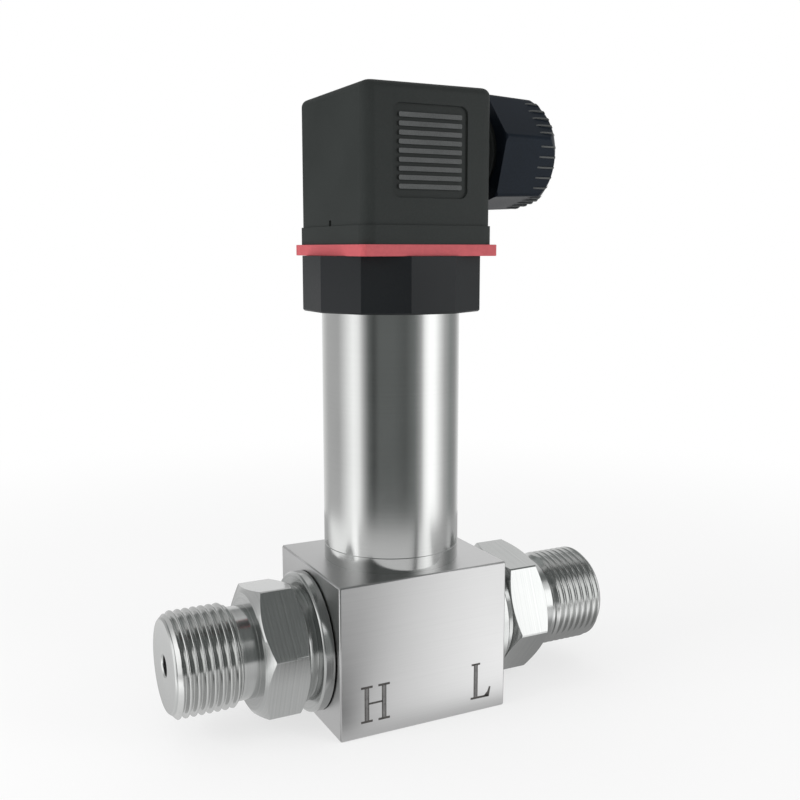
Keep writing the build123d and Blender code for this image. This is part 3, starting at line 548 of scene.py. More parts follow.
def threadTree():
    # one pitch of the profile wrapped along a helix, held under the end cones
    tree, sizes = openTree("rolledThread", (
        "Crest Radius", "Root Radius", "Pitch", "Start", "Turns", "First", "First Radius", "Last",
        "Last Radius", "Start Angle",
    ), ("Steps",))
    sheet = addNode(
        tree, "GeometryNodeMeshGrid",
        inputs={"Size X": 1.0, "Size Y": 1.0, "Vertices X": sizes["Steps"], "Vertices Y": thread["rows"]},
    )
    position = addNode(tree, "GeometryNodeInputPosition")[0]
    at = addNode(tree, separate, inputs={0: position})
    along = addNode(tree, maths, plus, {0: at["X"], 1: 0.5})[0]
    turn = addNode(tree, maths, times, {0: along, 1: sizes["Turns"]})[0]
    pitches = addNode(tree, maths, plus, {0: turn, 1: at["Y"]})[0]
    onHelix = addNode(tree, maths, timesPlus, {0: pitches, 1: sizes["Pitch"], 2: sizes["Start"]})[0]
    pastFirst = addNode(tree, maths, larger, {0: onHelix, 1: sizes["First"]})[0]
    axial = addNode(tree, maths, smaller, {0: pastFirst, 1: sizes["Last"]})[0]
    # crests and roots are round, as thread rolling leaves them
    phase = addNode(tree, maths, times, {0: at["Y"], 1: 2 * pi})[0]
    wave = addNode(tree, maths, {"operation": "COSINE"}, {0: phase})[0]
    height = addNode(
        tree, mapRange,
        inputs={"Value": wave, "From Min": -1.0, "From Max": 1.0,
                "To Min": sizes["Root Radius"], "To Max": sizes["Crest Radius"]},
    )["Result"]
    # 45 degree cones at both ends, starting a little under the core
    pastStart = addNode(tree, maths, minus, {0: axial, 1: sizes["First"]})[0]
    fromFirst = addNode(tree, maths, plus, {0: pastStart, 1: sizes["First Radius"]})[0]
    beforeEnd = addNode(tree, maths, minus, {0: sizes["Last"], 1: axial})[0]
    fromLast = addNode(tree, maths, plus, {0: beforeEnd, 1: sizes["Last Radius"]})[0]
    cones = addNode(tree, maths, smaller, {0: fromFirst, 1: fromLast})[0]
    radius = addNode(tree, maths, smaller, {0: height, 1: cones})[0]
    angle = addNode(tree, maths, timesPlus, {0: turn, 1: 2 * pi, 2: sizes["Start Angle"]})[0]
    level = addNode(tree, maths, {"operation": "COSINE"}, {0: angle})[0]
    upright = addNode(tree, maths, {"operation": "SINE"}, {0: angle})[0]
    spot = addNode(
        tree, combine,
        inputs={"X": axial,
                "Y": addNode(tree, maths, times, {0: radius, 1: level})[0],
                "Z": addNode(tree, maths, times, {0: radius, 1: upright})[0]},
    )
    wrapped = addNode(
        tree, "GeometryNodeSetPosition", inputs={"Geometry": sheet["Mesh"], "Position": spot[0]}
    )
    joined = addNode(
        tree, "GeometryNodeMergeByDistance",
        inputs={"Geometry": wrapped[0], "Distance": thread["joinWithin"]},
    )
    smooth = addNode(
        tree, "GeometryNodeSetShadeSmooth", inputs={"Geometry": joined[0], "Shade Smooth": True}
    )
    return closeTree(tree, smooth[0], sizes["Material"])


def fromTree(name, tree, values):
    # runs a node tree on an empty piece and keeps the result as a plain mesh
    piece = meshPiece(name, bpy.data.meshes.new(name))
    modifier = piece.modifiers.new("build", "NODES")
    modifier.node_group = tree
    for item in tree.interface.items_tree:
        if item.item_type == "SOCKET" and item.in_out == "INPUT" and item.name in values:
            modifier[item.identifier] = values[item.name]
    applied(piece).name = name
    return piece


def placeMesh(piece, side, height):
    for vertex in piece.data.vertices:
        vertex.co = (side * vertex.co.x, side * vertex.co.y, height + vertex.co.z)
    piece.data.update()


def turnFacesOut(piece, height):
    # a helical sheet has no inside, so its faces are turned by where its axis is
    build = bmesh.new()
    build.from_mesh(piece.data)
    bmesh.ops.recalc_face_normals(build, faces=build.faces)
    build.normal_update()
    outward = 0
    for face in build.faces:
        middle = face.calc_center_median()
        outward += 1 if face.normal.dot(middle - Vector((middle.x, 0.0, height))) > 0 else -1
    if outward < 0:
        bmesh.ops.reverse_faces(build, faces=build.faces)
    build.to_mesh(piece.data)
    build.free()


rolledThread = threadTree()


def threadPiece(name, side, height, turns, stepsPerTurn, values):
    ridge = fromTree(name, rolledThread, {**values, "Turns": turns, "Steps": ceil(turns * stepsPerTurn)})
    placeMesh(ridge, side, height)
    turnFacesOut(ridge, height)
    return settle(ridge, thread["sharpAngle"])


portThreadLength = (fitting["portEnd"] - fitting["neckEnd"]) * mm
threadStart = {"high": 4.49, "low": 2.2}   # start angles that put the crests in their places
for sideName, side in (("high", -1), ("low", 1)):
    cornerAngle = radians(hexTurns[sideName])
    angles = hexAngles(cornerAngle, fitting["cornerCut"])
    axis = aboutAxis(side, portHeight)
    body = turned(sideName + "SideFitting", fittingOutline(cornerAngle), angles, axis)
    breakEdges(body, **fittingEdge)
    dress(body, turnedStainless, "transmitter", "stainless_turned", sideName + "_side_fitting")
    turns = portThreadLength / thread["pitch"] + 1
    ridge = threadPiece(sideName + "PortThread", side, portHeight, turns, thread["stepsPerTurn"], {
        "Crest Radius": thread["crest"], "Root Radius": thread["root"], "Pitch": thread["pitch"],
        "Start": fitting["neckEnd"] * mm - 0.5 * thread["pitch"],
        "First": fitting["neckEnd"] * mm, "First Radius": fitting["neckRadius"] * mm - thread["tuck"],
        "Last": fitting["portEnd"] * mm - thread["tuck"],
        "Last Radius": thread["crest"] - thread["endChamfer"],
        "Start Angle": threadStart[sideName], "Material": rolledStainless,
    })
    dress(ridge, rolledStainless, "transmitter", "stainless_turned")
print("fittings ready")

# block and its letters

blockEdge = {"width": 0.16 * mm, "limitAngle": 40}
sensorBlock = copyOfNode("sensorBlock", "sensor_block")
breakEdges(sensorBlock, **blockEdge)
dress(sensorBlock, groundStainless, "transmitter", "stainless_block", "sensor_block")

letters = {
    "face": -15.3 * mm, "proud": 0.012 * mm, "top": 9.96, "foot": 3.15, "serif": 0.44, "serifReach": 1.21,
    "stems": (-12.6, -8.99), "stem": 0.95, "bar": 0.38, "barHeight": 6.65, "coreShare": 0.62,
    "coreProud": 0.018 * mm, "lowStem": (10.8, 11.72, 3.1, 9.8), "lowHead": (10.28, 12.25, 9.72, 10.12),
    "lowFoot": ((10.12, 2.68), (14.36, 2.62), (14.2, 3.05), (10.12, 3.12)),
    "lowTip": ((13.2, 3.0), (14.36, 2.62), (14.74, 4.66), (14.38, 4.72), (14.0, 3.75)),
    "lowCore": (11.26, 3.1, 9.8),
}


def letterPiece(name, shapes, material, proud):
    # flat strokes a hair above the face: the laser leaves a skin, not a groove
    build = bmesh.new()
    for shape in shapes:
        near = [build.verts.new((x * mm, letters["face"] - proud, z * mm)) for x, z in shape]
        far = [build.verts.new((x * mm, letters["face"] + letters["proud"], z * mm)) for x, z in shape]
        build.faces.new(near)
        build.faces.new(far[::-1])
        for spot in range(len(shape)):
            after = (spot + 1) % len(shape)
            build.faces.new((near[after], near[spot], far[spot], far[after]))
    bmesh.ops.recalc_face_normals(build, faces=build.faces)
    dress(builtPiece(name, build), material, "transmitter", "stainless_block")


def bar(left, right, low, high):
    return [(left, low), (right, low), (right, high), (left, high)]


def stemCore(middle, low, high):
    half = letters["stem"] * letters["coreShare"] / 2
    return bar(middle - half, middle + half, low, high)


top, foot, serif, reach = letters["top"], letters["foot"], letters["serif"] / 2, letters["serifReach"]
leftStem, rightStem = letters["stems"]
strokes, cores = [], []
for middle in letters["stems"]:
    halfStem = letters["stem"] / 2
    strokes.append(bar(middle - halfStem, middle + halfStem, foot + serif, top - serif))
    strokes.append(bar(middle - reach, middle + reach, top - serif, top + serif))
    strokes.append(bar(middle - reach, middle + reach, foot - serif, foot + serif))
    cores.append(stemCore(middle, foot + serif, top - serif))
crossLow = letters["barHeight"] - letters["bar"] / 2
strokes.append(bar(leftStem, rightStem, crossLow, crossLow + letters["bar"]))
letterPiece("highPortLetter", strokes, laserOxide, letters["proud"])
letterPiece("highPortLetterCore", cores, paleOxide, letters["coreProud"])

lowLetter = [bar(*letters["lowStem"]), bar(*letters["lowHead"]), letters["lowFoot"], letters["lowTip"]]
letterPiece("lowPortLetter", lowLetter, laserOxide, letters["proud"])
letterPiece("lowPortLetterCore", [stemCore(*letters["lowCore"])], paleOxide, letters["coreProud"])
print("letters ready")

# base and gasket

baseEdge = {"width": 0.12 * mm, "limitAngle": 25}
gasketEdge = {"width": 0.08 * mm, "limitAngle": 60, "segments": 1, "sharpAngle": 30}
connectorBase = copyOfNode("connectorBase", "connector_base")
breakEdges(connectorBase, **baseEdge)
dress(connectorBase, baseNylon, "transmitter", "base_nylon", "connector_base")

gasket = copyOfNode("connectorGasket", "connector_gasket")
breakEdges(gasket, **gasketEdge)
dress(gasket, redSilicone, "transmitter", "gasket_red", "connector_gasket")

# plug housing

plugEdge = {"width": 0.14 * mm, "limitAngle": 35}
panel = {
    "middle": 0.4 * mm, "halfWidth": 6.6 * mm, "low": 101.9 * mm, "high": 115.7 * mm, "ribTop": -15.65 * mm,
    "within": 0.03 * mm,
}
stub = {
    "back": 17.15 * mm, "front": 27.5 * mm, "crest": 7.6 * mm, "root": 6.9 * mm, "core": 6.95 * mm,
    "pitch": 1.41 * mm, "stepsPerTurn": 72, "within": 0.02 * mm, "backMargin": 0.06 * mm,
}

plugHousing = copyOfNode("plugHousing", "plug_housing")
# the solid's stub is plain at its crests: the core goes in so that the thread stands on it
for vertex in plugHousing.data.vertices:
    offAxis = Vector((0.0, vertex.co.y, vertex.co.z - glandHeight))
    atCrest = abs(offAxis.length - stub["crest"]) < stub["within"]
    if atCrest and vertex.co.x > stub["back"] - stub["backMargin"]:
        vertex.co -= offAxis * (1 - stub["core"] / stub["crest"])
breakEdges(plugHousing, **plugEdge)
dress(plugHousing, mouldedNylon, "plug", "plug_nylon", "plug_housing")
plugHousing.data.materials.append(ribHighlightNylon)
# the panel's rib tops take the paler nylon: a painted highlight where the light catches them
for face in plugHousing.data.polygons:
    across, through, up = face.center
    onPanel = abs(across - panel["middle"]) < panel["halfWidth"] and panel["low"] < up < panel["high"]
    if onPanel and face.normal.y < -0.9 and abs(through - panel["ribTop"]) < panel["within"]:
        face.material_index = 1
stubTurns = (stub["front"] - stub["back"]) / stub["pitch"] + 1
stubThread = threadPiece("stubThread", 1, glandHeight, stubTurns, stub["stepsPerTurn"], {
    "Crest Radius": stub["crest"], "Root Radius": stub["root"], "Pitch": stub["pitch"],
    "Start": stub["back"] - 0.5 * stub["pitch"], "First": stub["back"], "First Radius": stub["crest"],
    "Last": stub["front"] - thread["tuck"], "Last Radius": stub["root"], "Start Angle": 0.0,
    "Material": mouldedNylon,
})
dress(stubThread, mouldedNylon, "plug", "plug_nylon")
print("base, gasket and plug ready")

# gland nut

nut = {
    "back": 19.1, "front": 31.8, "backFlats": 20.4, "frontFlats": 19.3, "rim": 9.3, "domeLength": 4.4,
    "domeRadius": 7.3, "domeSteps": 8, "backChamfer": 0.5, "bore": 7.7, "lip": 1.4, "exit": 4.9,
    "turn": 12.0, "flats": 6, "cornerCut": radians(1.2), "halvings": 40,
    "ribsPerFlat": 5, "ribPitch": 2.05, "ribLength": 4.4, "ribWidth": 0.32, "ribHeight": 0.26,
    "ribRunOut": 1.2, "ribLift": 0.08, "ribFrontGap": 0.25, "ribDomeLift": 0.22, "ribSharpAngle": 35,
}
nutEdge = {"width": 0.18 * mm, "limitAngle": 30, "segments": 3}
cornerReach = nut["backFlats"] / sqrt(3)


def domeCentre():
    startX, startR = nut["front"] - nut["domeLength"], cornerReach
    endX, endR = nut["front"], nut["rim"]
    middle = Vector(((startX + endX) / 2, (startR + endR) / 2))
    chord = Vector((endX - startX, endR - startR))
    reach = sqrt(nut["domeRadius"] ** 2 - (chord.length / 2) ** 2)
    side = Vector((chord.y, -chord.x)).normalized()
    return middle + side * reach


domeMiddle = domeCentre()


def domeAt(along):
    if along <= nut["front"] - nut["domeLength"]:
        return cornerReach
    return domeMiddle.y + sqrt(max(0.0, nut["domeRadius"] ** 2 - (along - domeMiddle.x) ** 2))


def nutOutline(angle):
    corner = radians(180 - nut["turn"])
    offCorner = (angle - corner) % (pi / 3) - pi / 6
    length = nut["front"] - nut["back"]

    def hexAt(along):
        share = (along - nut["back"]) / length
        return (nut["backFlats"] + (nut["frontFlats"] - nut["backFlats"]) * share) / 2 / cos(offCorner)

    low, high = nut["back"], nut["front"]
    for halving in range(nut["halvings"]):
        middle = (low + high) / 2
        if hexAt(middle) < domeAt(middle):
            low = middle
        else:
            high = middle
    meet = low
    backLimit = cornerReach - nut["backChamfer"]
    backEdge = nut["back"] + max(0.0, hexAt(nut["back"]) - backLimit)
    points = [
        (nut["back"], nut["bore"]), (nut["back"], min(hexAt(nut["back"]), backLimit)),
        (backEdge, hexAt(backEdge)),
    ]
    for step in range(nut["domeSteps"] + 1):
        along = meet + (nut["front"] - meet) * step / nut["domeSteps"]
        points.append((along, min(domeAt(along), hexAt(along))))
    lip = nut["front"] - nut["lip"]
    points += [(nut["front"], nut["exit"]), (lip, nut["exit"]), (lip, nut["bore"])]
    return [(along * mm, radius * mm) for along, radius in points]


nutAngles = hexAngles(radians(180 - nut["turn"]), nut["cornerCut"])
glandNut = turned("glandNut", nutOutline, nutAngles, aboutAxis(1, glandHeight))
breakEdges(glandNut, **nutEdge)
dress(glandNut, glandNylon, "nut", "gland_nylon", "gland_nut")


def ribTree():
    # a row of thin bars on one flat, turned about the axis for each flat, cut down to the dome
    tree, sizes = openTree("gripRibs", (
        "Length", "Width", "Height", "Pitch", "Flat Radius", "Front", "Run Out", "Dome Middle X",
        "Dome Middle R", "Dome Radius", "First Angle",
    ), ("Ribs", "Flats"))
    position = addNode(tree, "GeometryNodeInputPosition")[0]
    twiceHigh = addNode(tree, maths, times, {0: sizes["Height"], 1: 2.0})[0]
    ribSize = addNode(tree, combine, inputs={0: sizes["Length"], 1: sizes["Width"], 2: twiceHigh})
    rib = addNode(
        tree, "GeometryNodeMeshCube",
        inputs={"Size": ribSize[0], "Vertices X": 14, "Vertices Y": 4, "Vertices Z": 4},
    )
    # the back end of each bar runs out to nothing
    onRib = addNode(tree, separate, inputs={0: position})
    fromBack = addNode(tree, maths, timesPlus, {0: sizes["Length"], 1: 0.5, 2: onRib["X"]})[0]
    share = addNode(
        tree, maths, {"operation": "DIVIDE", "use_clamp": True}, {0: fromBack, 1: sizes["Run Out"]}
    )[0]
    lowered = addNode(tree, maths, times, {0: onRib["Z"], 1: share})[0]
    sloped = addNode(tree, combine, inputs={0: onRib["X"], 1: onRib["Y"], 2: lowered})
    bladed = addNode(
        tree, "GeometryNodeSetPosition", inputs={"Geometry": rib["Mesh"], "Position": sloped[0]}
    )
    # the row's points lie across the flat, centred on it
    middleX = addNode(tree, maths, timesPlus, {0: sizes["Length"], 1: -0.5, 2: sizes["Front"]})[0]
    gaps = addNode(tree, maths, minus, {0: sizes["Ribs"], 1: 1.0})[0]
    rowWidth = addNode(tree, maths, times, {0: gaps, 1: sizes["Pitch"]})[0]
    firstY = addNode(tree, maths, times, {0: rowWidth, 1: -0.5})[0]
    firstSpot = addNode(tree, combine, inputs={0: middleX, 1: firstY, 2: sizes["Flat Radius"]})
    stride = addNode(tree, combine, inputs={1: sizes["Pitch"]})
    row = addNode(
        tree, "GeometryNodeMeshLine",
        inputs={"Count": sizes["Ribs"], "Start Location": firstSpot[0], "Offset": stride[0]},
    )
    onRow = addNode(
        tree, "GeometryNodeInstanceOnPoints", inputs={"Points": row["Mesh"], "Instance": bladed[0]}
    )
    oneFlat = addNode(tree, "GeometryNodeRealizeInstances", inputs={"Geometry": onRow[0]})
    # the row is turned about the axis for each flat
    hub = addNode(tree, "GeometryNodeMeshLine", inputs={"Count": sizes["Flats"], "Offset": (0.0, 0.0, 0.0)})
    step = addNode(tree, maths, {"operation": "DIVIDE"}, {0: 2 * pi, 1: sizes["Flats"]})[0]
    index = addNode(tree, "GeometryNodeInputIndex")[0]
    flatAngle = addNode(tree, maths, timesPlus, {0: index, 1: step, 2: sizes["First Angle"]})[0]
    spin = addNode(tree, combine, inputs={0: flatAngle})
    allFlats = addNode(
        tree, "GeometryNodeInstanceOnPoints",
        inputs={"Points": hub["Mesh"], "Instance": oneFlat[0], "Rotation": spin[0]},
    )
    standing = addNode(tree, "GeometryNodeRealizeInstances", inputs={"Geometry": allFlats[0]})
    # what stands above the dome is drawn in to it
    at = addNode(tree, separate, inputs={0: position})
    flatPart = addNode(tree, combine, inputs={1: at["Y"], 2: at["Z"]})[0]
    reach = addNode(tree, "ShaderNodeVectorMath", {"operation": "LENGTH"}, {0: flatPart})["Value"]
    offMiddle = addNode(tree, maths, minus, {0: at["X"], 1: sizes["Dome Middle X"]})[0]
    offSquared = addNode(tree, maths, times, {0: offMiddle, 1: offMiddle})[0]
    domeSquared = addNode(tree, maths, times, {0: sizes["Dome Radius"], 1: sizes["Dome Radius"]})[0]
    rise = addNode(tree, maths, minus, {0: domeSquared, 1: offSquared})[0]
    above = addNode(tree, maths, larger, {0: rise, 1: 0.0})[0]
    root = addNode(tree, maths, {"operation": "SQRT"}, {0: above})[0]
    limit = addNode(tree, maths, plus, {0: root, 1: sizes["Dome Middle R"]})[0]
    shrink = addNode(tree, maths, {"operation": "DIVIDE", "use_clamp": True}, {0: limit, 1: reach})[0]
    drawnIn = addNode(
        tree, "ShaderNodeVectorMath", {"operation": "SCALE"}, {0: flatPart, "Scale": shrink}
    )[0]
    axisPart = addNode(tree, combine, inputs={0: at["X"]})[0]
    spot = addNode(tree, "ShaderNodeVectorMath", plus, {0: drawnIn, 1: axisPart})
    held = addNode(
        tree, "GeometryNodeSetPosition", inputs={"Geometry": standing[0], "Position": spot[0]}
    )
    return closeTree(tree, held[0], sizes["Material"])


# the grip ribs are all in the paler nylon: a painted highlight on the ridges
gripRibs = fromTree("gripRibs", ribTree(), {
    "Length": nut["ribLength"] * mm, "Width": nut["ribWidth"] * mm, "Height": nut["ribHeight"] * mm,
    "Pitch": nut["ribPitch"] * mm, "Flat Radius": (nut["frontFlats"] / 2 + nut["ribLift"]) * mm,
    "Front": (nut["front"] - nut["ribFrontGap"]) * mm, "Dome Middle X": domeMiddle.x * mm,
    "Dome Middle R": (domeMiddle.y + nut["ribDomeLift"]) * mm, "Dome Radius": nut["domeRadius"] * mm,
    "First Angle": radians(-nut["turn"]), "Run Out": nut["ribRunOut"] * mm, "Ribs": nut["ribsPerFlat"],
    "Flats": nut["flats"], "Material": ribHighlightNylon,
})
placeMesh(gripRibs, 1, glandHeight)
settle(gripRibs, nut["ribSharpAngle"])
dress(gripRibs, ribHighlightNylon, "nut", "gland_nylon")
print("gland ready")

# floor, light and camera

stage = {
    "floorSize": 6.0, "floorHeight": -0.02 * mm, "floorTone": "f4f4f4", "shadowRadius": 0.30,
    "shadowCore": 0.3, "cameraShadow": 0.35, "ambient": 0.75, "cardRadius": 0.15, "cardSegments": 96,
    "strongest": 2.0, "tintBelow": 0.4, "darkTint": (0.95, 1.0, 0.985),
    "rightLamp": {"bearing": 66.0, "distance": 0.30, "width": 0.14, "height": 0.26, "power": 0.28},
    "leftLamp": {"bearing": -62.0, "distance": 0.30, "width": 0.14, "height": 0.26, "power": 0.55},
}
# cards round the object, by bearing from the camera's side, and the light each sends into the steel: painted
# reflections, as the cards glow only for glossy rays and light nothing
lowerCards = {
    "low": 0.0, "high": 0.092, "stops": (
        (-180, 0.95), (-150, 0.9), (-125, 0.66), (-92, 0.64), (-80, 1.0), (-62, 1.65), (-52, 1.45),
        (-43, 0.62), (-35, 0.2), (-26, 0.09), (-18, 0.19), (5, 0.19), (24, 0.15), (40, 0.26), (50, 0.6),
        (57, 1.6), (66, 2.0), (76, 1.9), (86, 1.25), (98, 0.66), (115, 0.38), (130, 0.42), (155, 0.95),
        (180, 0.95)),
}
middleCards = {
    "low": 0.092, "high": 0.155, "stops": (
        (-180, 0.75), (-165, 0.5), (-145, 0.25), (-100, 0.25), (-60, 0.4), (-48, 0.3), (-35, 0.15),
        (33, 0.2), (38, 0.7), (44, 1.7), (60, 1.8), (80, 1.0), (98, 0.4), (112, 0.3), (128, 0.8),
        (150, 0.9), (180, 0.85)),
}
upperCards = {
    "low": 0.155, "high": 0.40, "stops": (
        (-180, 0.75), (-165, 0.55), (-145, 0.36), (-100, 0.36), (-60, 0.5), (-48, 0.3), (-35, 0.17),
        (86, 0.2), (112, 0.24), (128, 0.8), (150, 0.9), (180, 0.85)),
}
view = {
    "azimuth": -26.658, "elevation": 8.626, "target": (2.065 * mm, 0.0, 61.656 * mm),
    "distance": 199.433 * mm, "lens": 44.764, "sensor": 36.0, "clipStart": 0.005,
}


def backgroundRays(tree):
    rays = addNode(tree, "ShaderNodeLightPath")
    mirror = addNode(tree, maths, larger, {0: rays["Is Glossy Ray"], 1: rays["Is Transmission Ray"]})[0]
    return rays["Is Camera Ray"], mirror


def lightRamp(tree, along, ramped):
    # a row of (value, light) stops read at a socket's value, each light as a share of the strongest
    stops = ramped["stops"]
    first, last = stops[0][0], stops[-1][0]
    share = addNode(tree, mapRange, inputs={"Value": along, "From Min": first, "From Max": last})
    ramp = addNode(tree, "ShaderNodeValToRGB", inputs={0: share["Result"]})
    elements = ramp[0].node.color_ramp.elements
    while len(elements) < len(stops):
        elements.new(0.5)
    for element, (value, light) in zip(elements, stops):
        # dark stops take a faint green tint, part of the painted reflection
        tint = stage["darkTint"] if light < stage["tintBelow"] else (1.0, 1.0, 1.0)
        element.position = (value - first) / (last - first)
        element.color = (*[light / stage["strongest"] * channel for channel in tint], 1.0)
    return ramp["Color"]


# what the steel sees of the table is painted light: a painted pool of light in front, greyer painted shade
# beside and behind, and a painted shadow under one port
tableLight = {
    "turn": radians(-27.0), "frontStart": -0.016, "frontEnd": -0.026, "backStart": 0.0, "backEnd": 0.010,
    "backShare": 0.78, "dimCentre": (0.048, 0.008, 0.0), "dimInner": 0.020, "dimOuter": 0.042,
    "dimShare": 0.52,
}
# stops of the painted pool across the table in front, with a painted dark strip on the high port's side
pool = {"stops": (
    (-0.050, 0.85), (-0.035, 0.70), (-0.0295, 0.20), (-0.0225, 0.22), (-0.0185, 0.90), (-0.010, 1.12),
    (0.0, 1.34), (0.012, 1.56), (0.018, 1.50), (0.029, 1.30), (0.037, 0.52))}
# stops of painted light and shade along X, beside and behind the object
besides = {"stops": (
    (-0.086, 1.8), (-0.062, 1.05), (-0.052, 0.95), (-0.045, 0.72), (-0.02, 0.7), (0.04, 0.72))}


def backdropMaterial():
    # floor: white to the camera, darker where the object shades it, and painted light and shade of a table
    # seen only in the steel
    material, tree, shader = startMaterial("paleBackdrop")
    tree.nodes.remove(shader)
    camera, mirror = backgroundRays(tree)
    ground = addNode(tree, "ShaderNodeTexCoord")["Object"]
    place = addNode(tree, separate, inputs={0: ground})
    table = addNode(
        tree, "ShaderNodeMapping", inputs={"Vector": ground, "Rotation": (0.0, 0.0, tableLight["turn"])}
    )
    across = addNode(tree, separate, inputs={0: table[0]})["X"]
    smooth = {"interpolation_type": "SMOOTHSTEP"}
    inFront = addNode(
        tree, mapRange, smooth,
        {"Value": place["Y"], "From Min": tableLight["frontEnd"], "From Max": tableLight["frontStart"],
         "To Min": 1.0, "To Max": 0.0},
    )["Result"]
    backShare = addNode(
        tree, mapRange, smooth,
        {"Value": place["Y"], "From Min": tableLight["backStart"], "From Max": tableLight["backEnd"],
         "To Min": 1.0, "To Max": tableLight["backShare"]},
    )["Result"]
    # a painted shadow under the low port, seen only in the steel
    fromDim = addNode(
        tree, "ShaderNodeVectorMath", {"operation": "DISTANCE"}, {0: ground, 1: tableLight["dimCentre"]}
    )["Value"]
    dimShare = addNode(
        tree, mapRange, smooth,
        {"Value": fromDim, "From Min": tableLight["dimInner"], "From Max": tableLight["dimOuter"],
         "To Min": tableLight["dimShare"] * stage["strongest"], "To Max": stage["strongest"]},
    )["Result"]
    sideLight = addNode(tree, maths, times, {0: lightRamp(tree, place["X"], besides), 1: backShare})[0]
    byPlace = addNode(
        tree, "ShaderNodeMix", floatMix, {0: inFront, 2: sideLight, 3: lightRamp(tree, across, pool)}
    )[0]
    inSteel = addNode(tree, maths, times, {0: byPlace, 1: dimShare})[0]
    # glossy and transmission rays see the painted light and shade, the camera sees plain white glow
    strength = addNode(tree, "ShaderNodeMix", floatMix, {0: mirror, 2: 1.0, 3: inSteel})[0]
    glow = addNode(tree, "ShaderNodeEmission", inputs={"Color": toLinear("ffffff"), "Strength": strength})
    lit = addNode(tree, "ShaderNodeBsdfDiffuse", inputs={"Color": toLinear(stage["floorTone"])})
    # near the object the camera sees part of the lit floor, so the shadow shows there
    away = addNode(tree, "ShaderNodeVectorMath", {"operation": "LENGTH"}, {0: ground})["Value"]
    shadowCore = stage["shadowRadius"] * stage["shadowCore"]
    white = addNode(
        tree, mapRange, smooth,
        {"Value": away, "From Min": shadowCore, "From Max": stage["shadowRadius"],
         "To Min": 1.0 - stage["cameraShadow"], "To Max": 1.0},
    )["Result"]
    toCamera = addNode(tree, maths, times, {0: camera, 1: white})[0]
    glowShare = addNode(tree, maths, larger, {0: toCamera, 1: mirror})[0]
    blend = addNode(tree, "ShaderNodeMixShader", inputs={0: glowShare, 1: lit[0], 2: glow[0]})
    tree.links.new(blend[0], tree.nodes["Material Output"].inputs["Surface"])
    return material


floorMesh = bpy.data.meshes.new("floor")
half = stage["floorSize"] / 2
flatCorners = ((-half, -half), (half, -half), (half, half), (-half, half))
floorMesh.from_pydata([(x, y, stage["floorHeight"]) for x, y in flatCorners], [], [(0, 1, 2, 3)])
floor = meshPiece("floor", floorMesh)
floorMesh.materials.append(backdropMaterial())

world = bpy.data.worlds.new("studio")
bpy.context.scene.world = world
world.use_nodes = True
worldTree = world.node_tree
worldTree.nodes.clear()
toCamera, toMirror = backgroundRays(worldTree)
seen = addNode(worldTree, maths, larger, {0: toCamera, 1: toMirror})[0]
strength = addNode(
    worldTree, mapRange, inputs={"Value": seen, "To Min": stage["ambient"], "To Max": 1.0}
)["Result"]
sky = addNode(worldTree, "ShaderNodeBackground", inputs={"Color": toLinear("ffffff"), "Strength": strength})
addNode(worldTree, "ShaderNodeOutputWorld", inputs={"Surface": sky[0]})

towardsCamera = Vector((sin(radians(view["azimuth"])), -cos(radians(view["azimuth"])), 0.0))


def bearing(degrees):
    # a level direction from the object, turned to the photo's right from the camera's side
    turn = radians(degrees)
    x, y = towardsCamera.x, towardsCamera.y
    return Vector((x * cos(turn) - y * sin(turn), x * sin(turn) + y * cos(turn), 0.0))


for name in ("rightLamp", "leftLamp"):
    lampSizes = stage[name]
    direction = bearing(lampSizes["bearing"])
    data = bpy.data.lights.new(name, "AREA")
    data.shape = "RECTANGLE"
    data.size = lampSizes["width"]
    data.size_y = lampSizes["height"]
    data.energy = lampSizes["power"]
    lamp = bpy.data.objects.new(name, data)
    bpy.context.scene.collection.objects.link(lamp)
    lamp.location = direction * lampSizes["distance"] + Vector((0.0, 0.0, lampSizes["height"] / 2))
    lamp.rotation_euler = (-direction).to_track_quat("-Z", "Y").to_euler()
    lamp.visible_camera = False
    lamp.visible_glossy = False


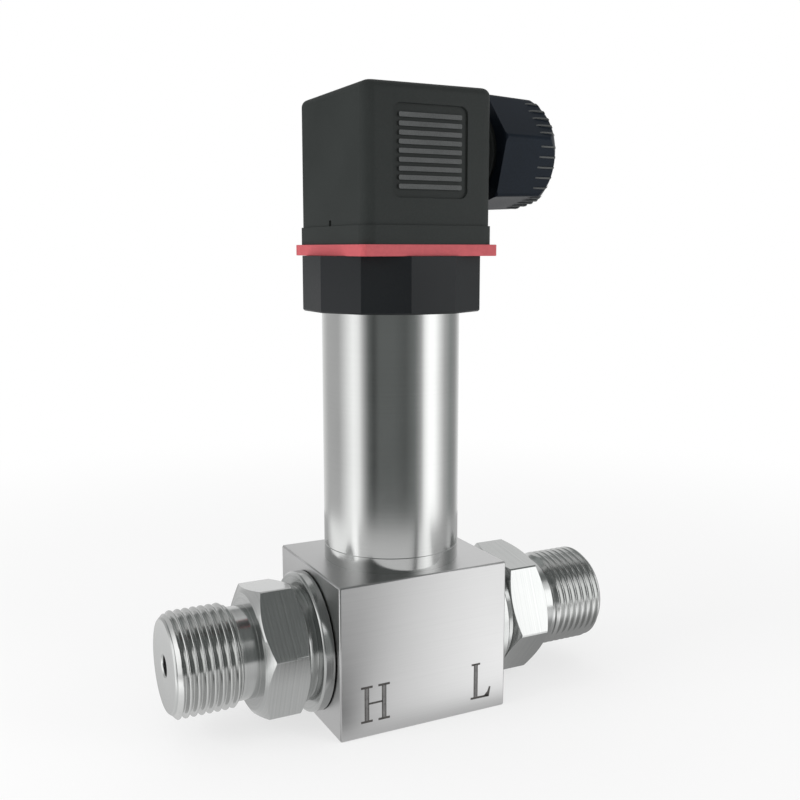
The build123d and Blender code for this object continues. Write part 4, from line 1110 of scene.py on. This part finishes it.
def cardMaterial(name, cards):
    # painted reflections by bearing: bright bands in the place of soft boxes, grey and near-black bands for
    # cards and flags, side by side
    material, tree, shader = startMaterial(name)
    tree.nodes.remove(shader)
    coords = addNode(tree, "ShaderNodeTexCoord")
    ring = addNode(
        tree, "ShaderNodeMapping",
        inputs={"Vector": coords["Object"], "Rotation": (0.0, 0.0, radians(90.0 - view["azimuth"]))},
    )
    parts = addNode(tree, separate, inputs={0: ring[0]})
    angle = addNode(tree, maths, {"operation": "ARCTAN2"}, {0: parts["Y"], 1: parts["X"]})[0]
    degrees = addNode(tree, maths, {"operation": "DEGREES"}, {0: angle})[0]
    card = addNode(
        tree, "ShaderNodeEmission",
        inputs={"Color": lightRamp(tree, degrees, cards), "Strength": stage["strongest"]},
    )
    tree.links.new(card[0], tree.nodes["Material Output"].inputs["Surface"])
    return material


def standCards(name, cards, capped):
    build = bmesh.new()
    bmesh.ops.create_cone(
        build, cap_ends=False, segments=stage["cardSegments"], radius1=stage["cardRadius"],
        radius2=stage["cardRadius"], depth=cards["high"] - cards["low"],
    )
    if capped:
        rim = [edge for edge in build.edges if edge.is_boundary and edge.verts[0].co.z > 0]
        bmesh.ops.holes_fill(build, edges=rim, sides=0)
        lid = [face for face in build.faces if len(face.verts) > 4]
        bmesh.ops.poke(build, faces=lid)
    bmesh.ops.translate(build, verts=build.verts, vec=(0.0, 0.0, (cards["low"] + cards["high"]) / 2))
    standing = builtPiece(name, build)
    standing.data.materials.append(cardMaterial(name + "Light", cards))
    # seen by nothing but glossy rays: the cards are painted reflections, not lamps
    standing.visible_camera = False
    standing.visible_shadow = False
    standing.visible_diffuse = False
    standing.visible_transmission = False


standCards("lowerCards", lowerCards, False)
standCards("middleCards", middleCards, False)
standCards("upperCards", upperCards, True)

azimuth, elevation = radians(view["azimuth"]), radians(view["elevation"])
forward = Vector((-sin(azimuth) * cos(elevation), cos(azimuth) * cos(elevation), -sin(elevation)))
cameraData = bpy.data.cameras.new("photoView")
cameraData.sensor_width = view["sensor"]
cameraData.lens = view["lens"]
cameraData.clip_start = view["clipStart"]
camera = bpy.data.objects.new("photoView", cameraData)
bpy.context.scene.collection.objects.link(camera)
camera.location = Vector(view["target"]) - forward * view["distance"]
camera.rotation_euler = forward.to_track_quat("-Z", "Y").to_euler()
bpy.context.scene.camera = camera
bpy.context.scene.view_settings.view_transform = "Standard"
print("stage ready")
